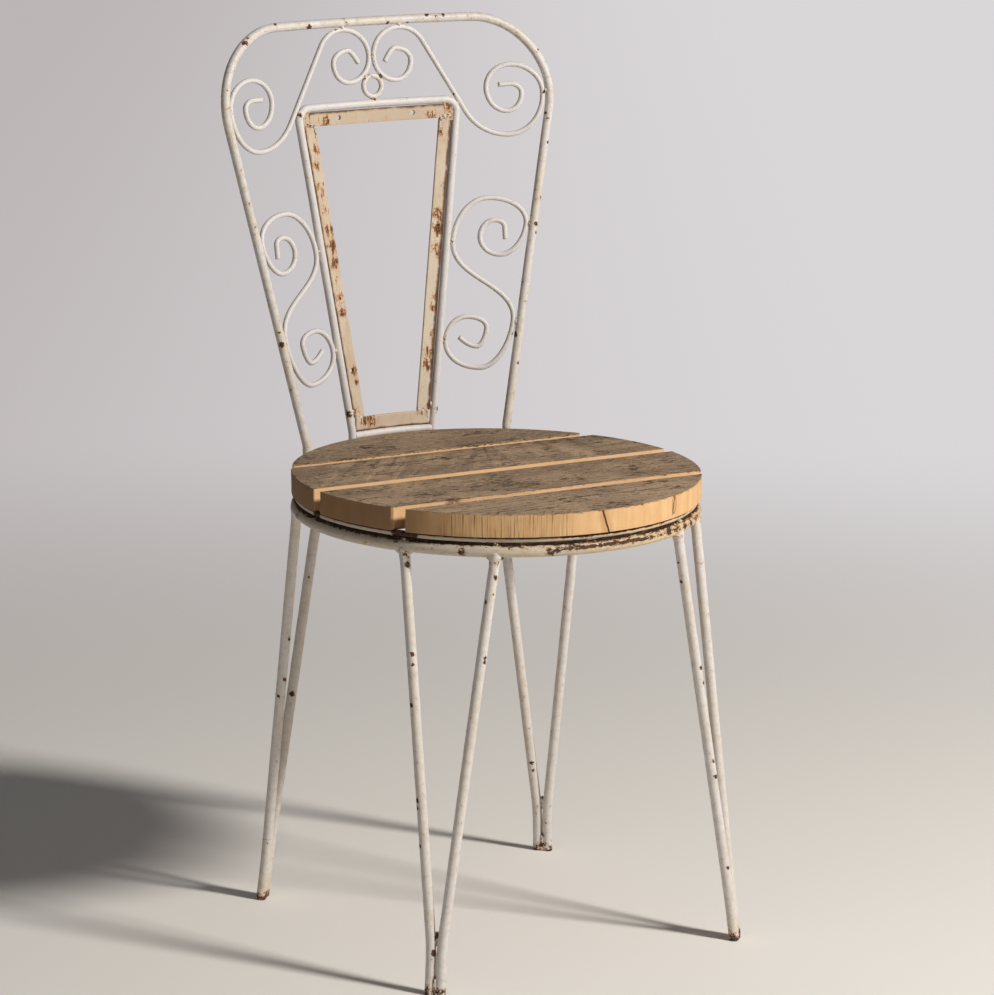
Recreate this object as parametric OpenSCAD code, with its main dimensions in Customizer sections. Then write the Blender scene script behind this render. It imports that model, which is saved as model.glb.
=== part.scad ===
// Garden chair of round steel rod with a slatted wooden seat.
// The seat rests on two rings, four splayed legs of two rods each carry them, and a
// leaning, bowed hoop back holds four scrolls and the bare frame of a lost panel.
// Z is up, the sitter faces -Y, and the origin is on the floor under the middle of the chair.

/* [Seat] */
// Diameter of the round seat
seat_d = 400; // [340:1:480]
// Height of the seat's top face above the floor
seat_h = 455; // [380:1:550]
// Thickness of the seat boards
board_t = 22; // [16:0.5:30]
// Width of the open gap between two boards
gap_w = 13; // [4:0.5:18]
// Place of the back gap along Y, from the seat's centre
back_gap_y = 105.5; // [90:0.5:120]
// Place of the middle gap along Y
middle_gap_y = 0; // [-20:0.5:20]
// Place of the front gap along Y
front_gap_y = -103.5; // [-120:0.5:-90]
// Turn of the back gap, because the boards were sawn by eye
back_gap_turn = -0.9; // [-3:0.1:3]
// Turn of the middle gap
middle_gap_turn = -0.7; // [-3:0.1:3]
// Turn of the front gap
front_gap_turn = -0.5; // [-3:0.1:3]

/* [Battens and screws] */
// Width of the two battens under the boards
batten_w = 30; // [20:1:40]
// Thickness of the battens
batten_t = 16; // [10:0.5:20]
// Distance of each batten from the middle
batten_x = 85; // [60:1:110]
// Gap between the battens' ends and the rings
batten_clear = 1; // [0.5:0.1:3]
// Diameter of the screw shanks
screw_d = 4; // [3:0.5:5]
// Diameter of the screw heads
screw_head_d = 8; // [6:0.5:9]
// Height of the screw heads
screw_head_h = 2.5; // [1.5:0.5:4]
// Length of the screws under the head
screw_l = 30; // [22:1:34]
// Gap around the screws in the wood
screw_clear = 0.1; // [0.05:0.05:0.3]

/* [Rings] */
// Rod diameter of the main ring
ring_d = 12; // [8:0.5:16]
// Rod diameter of the thin ring under the boards
rest_d = 6; // [4:0.5:10]
// Open height between the two rings
ring_step = 2; // [1.5:0.5:6]
// Diameter of the spacers between the rings
spacer_d = 7; // [4:0.5:8]

/* [Legs] */
// Rod diameter of the legs
leg_d = 10; // [8:0.5:14]
// Sideways place of the front feet
front_foot_x = 172; // [140:1:210]
// Forward place of the front feet, from the seat's centre
front_foot_y = 178; // [140:1:210]
// Sideways place of the back feet
back_foot_x = 167; // [140:1:210]
// Backward place of the back feet, from the seat's centre
back_foot_y = 167; // [140:1:210]
// Half of the angle between the tops of one leg's two rods
leg_spread = 13; // [6:0.5:16]
// Height up to which the two rods of a leg run side by side
foot_h = 45; // [30:1:70]
// Height of the welded web in the fork of each leg
web_h = 14; // [8:1:25]
// Depth of that web, front to back
web_t = 6; // [4:0.5:8]

/* [Back] */
// Rod diameter of the outer hoop
hoop_d = 9; // [7:0.5:12]
// Height of the hoop's top above the seat
hoop_rise = 416; // [350:1:480]
// Half of the hoop's width at the seat
hoop_base = 116.5; // [100:0.5:135]
// Outward slant of the hoop's sides
hoop_flare = 12.2; // [9:0.1:14]
// Radius of the hoop's shoulders
shoulder_r = 75; // [60:1:85]
// Backward lean of the back
lean = 6.5; // [2:0.1:12]
// Height above the seat where the lean begins
bend_rise = 4; // [4:0.5:16]
// Half of the height over which the rods bend into the lean
bend_soft = 8; // [4:0.5:12]

/* [Panel frame] */
// Rod diameter of the panel hoop
panel_d = 8; // [5:0.5:9]
// Height of the panel hoop's top above the seat
panel_rise = 334; // [290:1:380]
// Half of the panel hoop's width at the seat
panel_base = 47; // [40:0.5:60]
// Outward slant of the panel hoop's sides
panel_flare = 8; // [6:0.1:9]
// Radius of the panel hoop's corners
panel_corner_r = 12; // [8:0.5:18]
// Height of the bottom rod's centre above the seat
bottom_rod_rise = 1.5; // [-5:0.5:5]
// Width of the flat strips
strip_w = 14; // [10:0.5:18]
// Thickness of the flat strips
strip_t = 3; // [2:0.5:4]
// Diameter of the panel's screw holes
hole_d = 5; // [3:0.5:7]
// Distance of the top strip's holes from the middle
hole_x = 43; // [30:1:55]
// Height above the seat of the left strip's hole
hole_rise = 67; // [50:1:200]

/* [Scrolls] */
// Rod diameter of the scrolls
scroll_d = 5.2; // [3.5:0.1:6]
// Slant of the upper scrolls where they pass the panel's corners
scroll_slant = 59.5; // [50:0.5:70]
// Radius of the upper scrolls' crest
crest_r = 30; // [24:0.5:36]
// Radius of the sweep below that crest
sweep_r = 48; // [40:1:60]
// Height of the sweep's bottom above the seat
sweep_rise = 293; // [270:1:310]
// Radius of the curl beside the middle
curl_r = 24.6; // [20:0.1:28]
// Drop from the crest to that curl's centre
curl_drop = 27.7; // [24:0.1:32]
// Pull of the bend that joins the side scrolls' two spirals
side_pull = 39; // [25:1:50]
// Gap that the welds fill where two rods touch
weld_gap = 0.15; // [0.05:0.05:0.3]

/* [Hidden] */
$fn = 64;

PAINT = [0.86, 0.82, 0.73];
OLD_PAINT = [0.76, 0.64, 0.49];
RUST = [0.34, 0.21, 0.14];
WOOD = [0.52, 0.46, 0.39];

seat_r = seat_d / 2;
ring_r = seat_r - ring_d / 2;
board_z = seat_h - board_t;
rest_z = board_z - rest_d / 2;
ring_z = rest_z - rest_d / 2 - ring_step - ring_d / 2;
leg_top_z = ring_z - ring_d / 2 - weld_gap;
hoop_r = hoop_d / 2;
panel_r = panel_d / 2;
scroll_r = scroll_d / 2;
leg_r = leg_d / 2;
leg_off = leg_r + weld_gap;
web_low = leg_r;

// The back is a bent sheet: below bend_z it follows the seat's edge, and above it leans.
bend_z = seat_h + bend_rise;
base_r = seat_r + weld_gap + hoop_r;
bar_z = seat_h + hoop_rise - hoop_r;
panel_z = seat_h + panel_rise - panel_r;

// Half width of the hoop and of the panel hoop at a height
function above_bend(z) = max(0, z - bend_z);
function hoop_x(z) = hoop_base + above_bend(z) * tan(hoop_flare);
function panel_x(z) = panel_base + above_bend(z) * tan(panel_flare);

// How far back the sheet's middle has moved at a height, with a soft bend
function lean_y(z) =
    z <= bend_z - bend_soft ? 0
    : z >= bend_z + bend_soft ? (z - bend_z) * tan(lean)
    : pow(z - bend_z + bend_soft, 2) / (4 * bend_soft) * tan(lean);

// The sheet's bow: the seat's curve, spread out as the hoop widens
function bow_x(x, z) = x * hoop_base / hoop_x(z);
function bow_y(x, z) = sqrt(base_r * base_r - pow(bow_x(x, z), 2));
function back_y(x, z) = bow_y(x, z) + lean_y(z);

// Width along X that measures d along the bowed sheet, inwards from x
function bow_slope(x, z) = bow_x(x, z) / bow_y(x, z) * hoop_base / hoop_x(z);
function inwards(x, z, d) = d / sqrt(1 + pow(bow_slope(x - d / 2, z), 2));

// Place in space of a drawn point, with a step forwards from the sheet
function on_back(p, side, step) = [side * p.x, back_y(p.x, p.y) - step, p.y];
function all_on_back(points, side, step) = [for (p = points) on_back(p, side, step)];

// Quarter turns between points where a curve runs level and where it runs upright
function level_to_upright(p, q, n) = [for (i = [1 : n]) let (t = 90 * i / n)
    [p.x + (q.x - p.x) * sin(t), q.y + (p.y - q.y) * cos(t)]];
function upright_to_level(p, q, n) = [for (i = [1 : n]) let (t = 90 * i / n)
    [q.x + (p.x - q.x) * cos(t), p.y + (q.y - p.y) * sin(t)]];
function turns(points, level_first, n) = [for (i = [0 : len(points) - 2])
    each ((i % 2 == 0) == level_first
        ? level_to_upright(points[i], points[i + 1], n)
        : upright_to_level(points[i], points[i + 1], n))];

// Arc about a centre, from one bearing to another, measured from straight up
function arc(c, r, from, to, n) = [for (i = [0 : n]) let (t = from + (to - from) * i / n)
    c + r * [sin(t), cos(t)]];

// Bend from one point to another with one or two pull points
function bend2(a, b, c, n) = [for (i = [0 : n]) let (t = i / n)
    a * (1 - t) * (1 - t) + b * 2 * t * (1 - t) + c * t * t];
function bend3(a, b, c, d, n) = [for (i = [1 : n]) let (t = i / n, s = 1 - t)
    a * s * s * s + b * 3 * s * s * t + c * 3 * s * t * t + d * t * t * t];

// Straight run split in n steps, without its first point
function run(a, b, n) = [for (i = [1 : n]) a + (b - a) * i / n];

function unit(v) = v / norm(v);
function heading(path, i) =
    unit(path[min(i + 1, len(path) - 1)] - path[max(i - 1, 0)]);

// Round rod along a path that lies nearly in an upright sheet
module rod_along(path, r, sides) {
    last = len(path) - 1;
    points = [for (i = [0 : last])
        let (along = heading(path, i), up = unit(cross(along, [0, 1, 0])), out = cross(up, along))
        for (s = [0 : sides - 1]) let (a = 360 * s / sides)
            path[i] + r * (out * cos(a) + up * sin(a))];
    walls = [for (i = [0 : last - 1], s = [0 : sides - 1]) let (t = (s + 1) % sides)
        each [[i * sides + s, (i + 1) * sides + s, (i + 1) * sides + t],
            [i * sides + s, (i + 1) * sides + t, i * sides + t]]];
    ends = [[for (s = [0 : sides - 1]) s],
        [for (s = [sides - 1 : -1 : 0]) last * sides + s]];
    polyhedron(points, concat(walls, ends));
}

// Y of the chair's foremost and rearmost points, so that the origin is midway
front_reach = max(seat_r, front_foot_y + leg_off + leg_r);
back_reach = base_r + (bar_z - bend_z) * tan(lean) + hoop_r;
module place() {
    translate([0, (front_reach - back_reach) / 2, 0]) children();
}

// ---- rings ----

module hoop_ring(r, z, d) {
    translate([0, 0, z]) rotate_extrude() translate([r, 0]) circle(d = d);
}

module seat_ring() {
    color(PAINT) place() hoop_ring(ring_r, ring_z, ring_d);
}

module rest_ring() {
    color(PAINT) place() hoop_ring(ring_r, rest_z, rest_d);
}

// Spacers fill the step between the rings above each leg rod
module ring_spacers() {
    color(PAINT) place() difference() {
        for (mid = [45 : 90 : 315], side = [-1, 1]) {
            rotate([0, 0, mid + side * leg_spread])
                translate([ring_r, 0, ring_z])
                cylinder(d = spacer_d, h = rest_z - ring_z);
        }
        hoop_ring(ring_r, ring_z, ring_d + weld_gap);
        hoop_ring(ring_r, rest_z, rest_d + weld_gap);
    }
}

// ---- legs ----

// Points of one rod: foot, end of the side-by-side stretch, and top under the ring
function leg_foot(fb, side) = fb > 0
    ? [side * back_foot_x, back_foot_y, 0] : [side * front_foot_x, -front_foot_y, 0];
function leg_bearing(fb, side) = atan2(fb, side);
function leg_top(fb, side, ab) = let (a = leg_bearing(fb, side) + ab * leg_spread)
    [ring_r * cos(a), ring_r * sin(a), leg_top_z];
function leg_middle(fb, side, z) = let (foot = leg_foot(fb, side),
        top = (leg_top(fb, side, -1) + leg_top(fb, side, 1)) / 2)
    foot + (top - foot) * z / leg_top_z;
function leg_across(fb, side) = let (a = leg_bearing(fb, side)) [-sin(a), cos(a), 0];
function leg_point(fb, side, ab, z) =
    leg_middle(fb, side, z) + ab * leg_off * leg_across(fb, side);

module rod_between(a, b, r) {
    v = b - a;
    translate(a) rotate([0, acos(v.z / norm(v)), atan2(v.y, v.x)]) cylinder(r = r, h = norm(v));
}

// Level cut through a slanting rod, wider along the way that the rod slants
function level_cut(c, v, r, sides) = let (h = norm([v.x, v.y]), d = [v.x, v.y, 0] / h,
        e = [-d.y, d.x, 0], stretch = norm(v) / abs(v.z))
    [for (s = [0 : sides - 1]) let (a = 360 * s / sides)
        c + r * (d * stretch * cos(a) + e * sin(a))];

// Bent rod, cut level at the floor and under the ring
module leg_rod(fb, side, ab) {
    sides = 16;
    foot = leg_point(fb, side, ab, 0);
    knee = leg_point(fb, side, ab, foot_h);
    top = leg_top(fb, side, ab);
    cuts = [for (c = [foot, knee, top]) each level_cut(c, top - foot, leg_r, sides)];
    walls = [for (i = [0, 1], s = [0 : sides - 1]) let (t = (s + 1) % sides)
        each [[i * sides + s, (i + 1) * sides + s, (i + 1) * sides + t],
            [i * sides + s, (i + 1) * sides + t, i * sides + t]]];
    ends = [[for (s = [0 : sides - 1]) s], [for (s = [sides - 1 : -1 : 0]) 2 * sides + s]];
    polyhedron(cuts, concat(walls, ends));
}

module leg(fb, side, ab) {
    color(PAINT) place() leg_rod(fb, side, ab);
}

// Welded web in the fork just above the side-by-side stretch
module web(fb, side) {
    low = leg_middle(fb, side, foot_h);
    color(RUST) place() difference() {
        translate(low) rotate([0, 0, leg_bearing(fb, side)])
            translate([-web_t / 2, -leg_r, web_low]) cube([web_t, leg_d, web_h]);
        for (ab = [-1, 1]) {
            rod_between(leg_point(fb, side, ab, foot_h), leg_top(fb, side, ab), leg_r + weld_gap / 2);
        }
    }
}

// ---- hoops of the back ----

// Half outline from the foot up to the middle of the top bar
hoop_edge = hoop_x(bar_z);
shoulder_run = shoulder_r / tan((90 - hoop_flare) / 2);
shoulder = [hoop_edge - shoulder_run, bar_z - shoulder_r];
function hoop_half() = let (side_end = bar_z - shoulder_run * cos(hoop_flare)) concat(
    [for (z = [ring_z - ring_d / 2, board_z, bend_z - bend_soft]) [hoop_base, z]],
    [for (z = [bend_z - bend_soft / 2, bend_z, bend_z + bend_soft / 2, bend_z + bend_soft])
        [hoop_x(z), z]],
    run([hoop_x(bend_z + bend_soft), bend_z + bend_soft], [hoop_x(side_end), side_end], 8),
    arc(shoulder, shoulder_r, 90 + hoop_flare, 0, 14),
    run([shoulder.x, bar_z], [0, bar_z], 5));

panel_edge = panel_x(panel_z);
panel_run = panel_corner_r / tan((90 - panel_flare) / 2);
panel_corner = [panel_edge - panel_run, panel_z - panel_corner_r];
function panel_half() = let (side_end = panel_z - panel_run * cos(panel_flare)) concat(
    [for (z = [ring_z - ring_d / 2, board_z, bend_z - bend_soft]) [panel_base, z]],
    [for (z = [bend_z - bend_soft / 2, bend_z, bend_z + bend_soft / 2, bend_z + bend_soft])
        [panel_x(z), z]],
    run([panel_x(bend_z + bend_soft), bend_z + bend_soft], [panel_x(side_end), side_end], 6),
    arc(panel_corner, panel_corner_r, 90 + panel_flare, 0, 6),
    run([panel_corner.x, panel_z], [0, panel_z], 4));

// Both halves of a symmetric outline, without the repeated middle and start points
function tidy(points) = [for (i = [0 : len(points) - 1])
    if (i == 0 || norm(points[i] - points[i - 1]) > 0.01) points[i]];
function both_halves(half, step) = let (h = tidy(half)) concat(
    all_on_back(h, -1, step),
    all_on_back([for (i = [len(h) - 2 : -1 : 0]) h[i]], 1, step));

// The panel hoop is thinner, and steps forwards so that it meets the ring too
panel_step = hoop_r - panel_r;

module back_hoop() {
    color(PAINT) place() rod_along(both_halves(hoop_half(), 0), hoop_r, 12);
}

module panel_hoop() {
    color(PAINT) place() rod_along(both_halves(panel_half(), panel_step), panel_r, 12);
}

// ---- panel frame ----

bottom_rod_z = seat_h + bottom_rod_rise;
bottom_rod_x = panel_base - panel_r - weld_gap;
strip_edge = panel_r + weld_gap;

// The bottom rod and strip follow the seat's curve
panel_base_r = base_r - panel_step;

module panel_bottom_rod() {
    half = asin(bottom_rod_x / panel_base_r);
    color(PAINT) place() translate([0, 0, bottom_rod_z])
        rotate([0, 0, 90 - half])
        rotate_extrude(angle = 2 * half) translate([panel_base_r, 0]) circle(r = panel_r);
}

module panel_strip_bottom() {
    half = asin(bottom_rod_x / panel_base_r);
    color(OLD_PAINT) place()
        translate([0, 0, bottom_rod_z + panel_r + weld_gap])
        rotate([0, 0, 90 - half])
        rotate_extrude(angle = 2 * half)
        translate([panel_base_r - strip_t / 2, 0]) square([strip_t, strip_w]);
}

// The top strip is an arc with the flatter bow that the sheet has at its height
top_strip_z = panel_z - strip_edge - strip_w / 2;
top_bow_r = base_r * pow(hoop_x(top_strip_z) / hoop_base, 2);
top_strip_x = panel_corner.x + weld_gap;
top_strip_sag = (top_bow_r - sqrt(pow(top_bow_r, 2) - pow(top_strip_x, 2))) * sin(lean);

module panel_strip_top() {
    half = asin(top_strip_x / top_bow_r);
    y = back_y(0, top_strip_z) - panel_step;
    color(OLD_PAINT) place() translate([0, y, top_strip_z - top_strip_sag])
        rotate([-lean, 0, 0])
        translate([0, -top_bow_r, -strip_w / 2]) difference() {
            rotate([0, 0, 90 - half]) rotate_extrude(angle = 2 * half, $fn = 180)
                translate([top_bow_r - strip_t / 2, 0]) square([strip_t, strip_w]);
            for (side = [-1, 1]) {
                rotate([0, 0, 90 + side * asin(hole_x / top_bow_r)])
                    translate([top_bow_r - strip_t, 0, strip_w / 2])
                    rotate([0, 90, 0]) cylinder(d = hole_d, h = 2 * strip_t);
            }
        }
}

// The side strips run straight from the bottom strip to the top strip
strip_low_z = bottom_rod_z + panel_r + strip_w + 2 * weld_gap;
strip_high_z = top_strip_z - top_strip_sag - strip_w / 2 - weld_gap;
function strip_point(z) =
    let (x = panel_x(z) - (strip_edge + weld_gap + strip_w / 2) / cos(panel_flare))
    [x, back_y(x, z) - panel_step, z];

module panel_side_strip(side, holes) {
    a = strip_point(strip_low_z);
    b = strip_point(strip_high_z);
    v = b - a;
    length = norm(v);
    bow = atan(bow_slope((a.x + b.x) / 2, (a.z + b.z) / 2));
    color(OLD_PAINT) place() mirror([side > 0 ? 0 : 1, 0, 0])
        intersection() {
            translate(a) rotate([0, acos(v.z / length), atan2(v.y, v.x)])
                rotate([0, 0, -atan2(v.y, v.x) - bow]) difference() {
                    translate([-strip_w / 2, -strip_t / 2, -strip_w])
                        cube([strip_w, strip_t, length + 2 * strip_w]);
                    if (holes) {
                        translate([0, -strip_t, (hole_rise + seat_h - a.z) / v.z * length])
                            rotate([-90, 0, 0]) cylinder(d = hole_d, h = 2 * strip_t);
                    }
                }
            translate([0, 0, strip_low_z]) cube([seat_d, 2 * seat_d, strip_high_z - strip_low_z]);
        }
}

// ---- scrolls ----

touch_hoop = hoop_r + scroll_r + weld_gap;
touch_panel = panel_r + scroll_r + weld_gap;

// Upper scroll: a curl by the middle, a crest under the top bar, a slanting run that
// passes the panel's corner, a sweep, and a spiral inside the hoop's shoulder
crest_z = bar_z - touch_hoop;
near_x = scroll_r + weld_gap / 2;
curl = [near_x + curl_r, crest_z - curl_drop];
slant_out = [sin(scroll_slant), cos(scroll_slant)];
slant_off = panel_corner_r + touch_panel;
crest_x = panel_corner.x + (slant_off - crest_r
    - (crest_z - crest_r - panel_corner.y) * slant_out.y) / slant_out.x;
sweep_z = seat_h + sweep_rise;
sweep_x = panel_corner.x + (slant_off + sweep_r
    - (sweep_z + sweep_r - panel_corner.y) * slant_out.y) / slant_out.x;
shoulder_edge = shoulder.x + shoulder_r;
outer = [shoulder_edge - inwards(shoulder_edge, shoulder.y, touch_hoop), shoulder.y];
curl_tip = curl + [-12, -6];
curl_top = curl + [0, 7];
curl_side = curl + [17.5, -5.5];
spiral_turns = [[0, 0], [-30, 26.5], [-56, 2.5], [-36.5, -20], [-20.5, -1.5], [-31, 7]];
spiral_tip = [-43, 6.5];

function upper_scroll_line() = tidy(concat(
    bend2(curl_tip, [curl_top.x - 4, curl_top.y], curl_top, 4),
    turns([curl_top, curl_side, [curl.x, curl.y - curl_r], [near_x, curl.y], [crest_x, crest_z]],
        true, 7),
    arc([crest_x, crest_z - crest_r], crest_r, 0, scroll_slant, 6),
    arc([sweep_x, sweep_z + sweep_r], -sweep_r, scroll_slant, 0, 7),
    turns([[sweep_x, sweep_z], outer], true, 8),
    turns([for (p = spiral_turns) outer + p], false, 7),
    run(outer + spiral_turns[5], outer + spiral_tip, 2)));

module upper_scroll(side) {
    color(PAINT) place()
        rod_along(all_on_back(upper_scroll_line(), side, 0), scroll_r, 8);
}

// Side scroll, drawn across the lane between the panel hoop (0) and the outer hoop (1)
function lane_in(z) = panel_x(z) + touch_panel / cos(panel_flare);
function lane_out(z) = hoop_x(z) - inwards(hoop_x(z), z, touch_hoop / cos(hoop_flare));
function in_lane(p) = let (z = seat_h + p.y)
    [lane_in(z) + (lane_out(z) - lane_in(z)) * p.x, z];

high_spiral = [[0.72, 200], [0.57, 207.5], [0.39, 193], [0.71, 173], [1, 203], [0.45, 230],
    [0, 188]];
high_tip = [0.75, 188];
low_spiral = [[1, 106], [0.6, 60], [0, 88.5], [0.3, 111.5], [0.63, 99.5], [0.51, 81.5]];
low_tip = [0.22, 91];

function side_scroll_line() = tidy([for (p = concat(
    run(high_tip - (high_spiral[0] - high_tip) * 0.01, high_spiral[0], 2),
    turns(high_spiral, false, 8),
    bend3(high_spiral[6], high_spiral[6] - [0, side_pull], low_spiral[0] + [0, side_pull],
        low_spiral[0], 12),
    turns(low_spiral, false, 8),
    bend2(low_spiral[5], [low_spiral[5].x - 0.12, low_spiral[5].y], low_tip, 4)))
    in_lane(p)]);

module side_scroll(side) {
    color(PAINT) place()
        rod_along(all_on_back(side_scroll_line(), side, 0), scroll_r, 8);
}

// Small ring that touches both curls and the panel hoop's top bar
gap_floor = panel_z + panel_r + weld_gap;
curl_above = curl.y - gap_floor;
curl_reach = curl_r + scroll_r + weld_gap;
centre_ring_out = (curl.x * curl.x + curl_above * curl_above - curl_reach * curl_reach)
    / (2 * (curl_above + curl_reach));

module centre_ring() {
    z = gap_floor + centre_ring_out;
    color(PAINT) place() translate([0, back_y(0, z), z])
        rotate([90 - lean, 0, 0])
        rotate_extrude() translate([centre_ring_out - scroll_r, 0]) circle(r = scroll_r);
}

// ---- seat ----

// Y of a gap's middle line at a place along X
function gap_line(y, turn, x) = y + x * tan(turn);

screw_rows = [(back_gap_y + seat_r) / 2 - 12, (back_gap_y + middle_gap_y) / 2,
    (middle_gap_y + front_gap_y) / 2, (front_gap_y - seat_r) / 2 + 12];
batten_z = board_z - batten_t;

module screw_holes(d) {
    for (side = [-1, 1], y = screw_rows) {
        translate([side * batten_x, y, batten_z - 1]) cylinder(d = d, h = screw_l + 2);
    }
}

// Gaps by place and turn, with one past the seat's edge at either end
gaps = [[-seat_d, 0], [front_gap_y, front_gap_turn], [middle_gap_y, middle_gap_turn],
    [back_gap_y, back_gap_turn], [seat_d, 0]];
function gap_side(gap, side, x) = gap_line(gap[0] + side * gap_w / 2, gap[1], x);

// Board between one gap and the next, counted from the front
module board(i) {
    reach = seat_d;
    color(WOOD) place() difference() {
        intersection() {
            translate([0, 0, board_z]) cylinder(r = seat_r, h = board_t, $fn = 128);
            translate([0, 0, board_z - 1]) linear_extrude(board_t + 2) polygon([
                [-reach, gap_side(gaps[i], 1, -reach)],
                [reach, gap_side(gaps[i], 1, reach)],
                [reach, gap_side(gaps[i + 1], -1, reach)],
                [-reach, gap_side(gaps[i + 1], -1, -reach)]]);
        }
        screw_holes(screw_d + 2 * screw_clear);
    }
}

// Batten under the boards, ending just inside the rings
module batten(side) {
    color(WOOD) place() difference() {
        intersection() {
            translate([side * batten_x - batten_w / 2, -seat_r, batten_z])
                cube([batten_w, seat_d, batten_t]);
            cylinder(r = ring_r - ring_d / 2 - batten_clear, h = seat_h);
        }
        screw_holes(screw_d + 2 * screw_clear);
    }
}

module batten_screws() {
    color(RUST) place() for (side = [-1, 1], y = screw_rows) {
        translate([side * batten_x, y, batten_z]) {
            translate([0, 0, -screw_head_h]) cylinder(d = screw_head_d, h = screw_head_h);
            translate([0, 0, -screw_head_h / 2])
                cylinder(d = screw_d, h = screw_l + screw_head_h / 2);
        }
    }
}

seat_ring();
rest_ring();
ring_spacers();
leg(-1, -1, -1);  // leg_front_left_a
leg(-1, -1, 1);  // leg_front_left_b
leg(-1, 1, -1);  // leg_front_right_a
leg(-1, 1, 1);  // leg_front_right_b
leg(1, -1, -1);  // leg_back_left_a
leg(1, -1, 1);  // leg_back_left_b
leg(1, 1, -1);  // leg_back_right_a
leg(1, 1, 1);  // leg_back_right_b
web(-1, -1);  // web_front_left
web(-1, 1);  // web_front_right
web(1, -1);  // web_back_left
web(1, 1);  // web_back_right
back_hoop();
panel_hoop();
panel_bottom_rod();
panel_strip_top();
panel_strip_bottom();
panel_side_strip(-1, true);  // panel_strip_left
panel_side_strip(1, false);  // panel_strip_right
upper_scroll(-1);  // upper_scroll_left
upper_scroll(1);  // upper_scroll_right
side_scroll(-1);  // side_scroll_left
side_scroll(1);  // side_scroll_right
centre_ring();
board(3);  // seat_board_back
board(2);  // seat_board_mid_back
board(1);  // seat_board_mid_front
board(0);  // seat_board_front
batten(-1);  // batten_left
batten(1);  // batten_right
batten_screws();
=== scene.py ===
"""Garden chair of painted steel rod with a slatted wooden seat, long left outdoors."""

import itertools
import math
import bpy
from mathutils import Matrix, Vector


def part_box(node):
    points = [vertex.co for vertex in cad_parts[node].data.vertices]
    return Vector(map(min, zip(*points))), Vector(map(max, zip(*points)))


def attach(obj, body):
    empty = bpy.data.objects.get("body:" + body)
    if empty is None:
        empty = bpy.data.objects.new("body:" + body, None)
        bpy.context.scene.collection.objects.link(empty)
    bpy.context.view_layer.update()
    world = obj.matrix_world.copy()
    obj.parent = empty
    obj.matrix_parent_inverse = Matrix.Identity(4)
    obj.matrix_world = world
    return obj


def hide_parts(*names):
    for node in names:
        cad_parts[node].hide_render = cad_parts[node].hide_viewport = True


bl_info = {
    "name": "Weathered Scroll Chair",
    "version": (1, 0, 0),
    "blender": (4, 5, 0),
    "location": "View3D > Sidebar > Chair",
    "description": "Builds the finished surfaces of a rusty, peeling rod chair round its frame",
    "category": "Object",
}

import bmesh
import bpy
import numpy as np
from bpy.props import FloatProperty, FloatVectorProperty, PointerProperty
from mathutils import Matrix, Vector, noise

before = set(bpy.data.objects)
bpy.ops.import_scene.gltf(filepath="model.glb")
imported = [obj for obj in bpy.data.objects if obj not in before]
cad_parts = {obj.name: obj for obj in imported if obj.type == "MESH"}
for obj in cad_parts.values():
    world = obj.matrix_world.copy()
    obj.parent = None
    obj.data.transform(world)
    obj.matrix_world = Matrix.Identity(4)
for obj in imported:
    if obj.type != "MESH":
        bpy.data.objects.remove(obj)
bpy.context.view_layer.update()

MM = 0.001
MERGE = 0.00001  # corners nearer than this are one corner
MERGE_FRAME = 0.00002  # the same in a copy of a frame part, whose triangles are loose
ON_PLANE = 1e-7  # corners nearer than this to a cut lie on it


def middle(node):
    """The middle of a frame part's box."""
    low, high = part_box(node)
    return (low + high) / 2


def height_mm(node, top=True):
    """The height of a frame part's top, or of its underside."""
    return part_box(node)[1 if top else 0].z / MM


# ---- places taken from the frame, in millimetres with the seat's centre at x = y = 0 ----

SEAT_Y = middle("seat_ring").y
SEAT_R = (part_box("seat_ring")[1].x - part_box("seat_ring")[0].x) / 2 / MM
RING_Z = middle("seat_ring").z / MM
RING_ROD = (height_mm("seat_ring") - height_mm("seat_ring", False)) / 2
RING_R = SEAT_R - RING_ROD
REST_Z = middle("rest_ring").z / MM
REST_ROD = (height_mm("rest_ring") - height_mm("rest_ring", False)) / 2
SEAT_TOP = height_mm("seat_board_front")
SEAT_LOW = height_mm("seat_board_front", False)
BATTEN_LOW = height_mm("batten_left", False)
HOOP_TOP = height_mm("back_hoop")

# Half thicknesses of the rods, the play left at a weld, and how far inside their frame
# parts the finished rods and the seat's edge lie, so that paint and dents don't show past
HOOP_ROD, PANEL_ROD, SCROLL_ROD, LEG_ROD = 4.5, 4.0, 2.6, 5.0
WELD = 0.15
SKIN, BOARD_SKIN = 0.02, 0.15

# The back is a sheet that follows the seat's edge and leans above its bend
BEND_Z, BEND_SOFT, LEAN = SEAT_TOP + 4, 8, math.radians(6.5)
HOOP_BASE, HOOP_FLARE = 116.5, math.radians(12.2)
PANEL_BASE, PANEL_FLARE = 47, math.radians(8)
SHOULDER_R, PANEL_CORNER_R = 75, 12
SHEET_R = SEAT_R + WELD + HOOP_ROD
PANEL_STEP = HOOP_ROD - PANEL_ROD  # brings the panel's thinner rods flush in front
BAR_Z = HOOP_TOP - HOOP_ROD
PANEL_RISE = 334
PANEL_Z = SEAT_TOP + PANEL_RISE - PANEL_ROD
BOTTOM_ROD_Z = SEAT_TOP + 1.5
STRIP_W = 14

# Legs: degrees from a leg's middle to the top of each rod, the height of the bend, and how
# far a rod runs on below the floor, where it is cut off level, and up into the ring
LEG_SPREAD = 13
KNEE_Z = 45
BELOW_FLOOR = 12
INTO_RING = 5

# Seat: how far out the battens lie, each gap's place front to back with its turn in
# degrees, and the gaps' width
BATTEN_X = 85
GAPS = [(105.5, -0.9), (0, -0.7), (-103.5, -0.5)]
GAP_W = 13


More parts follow.
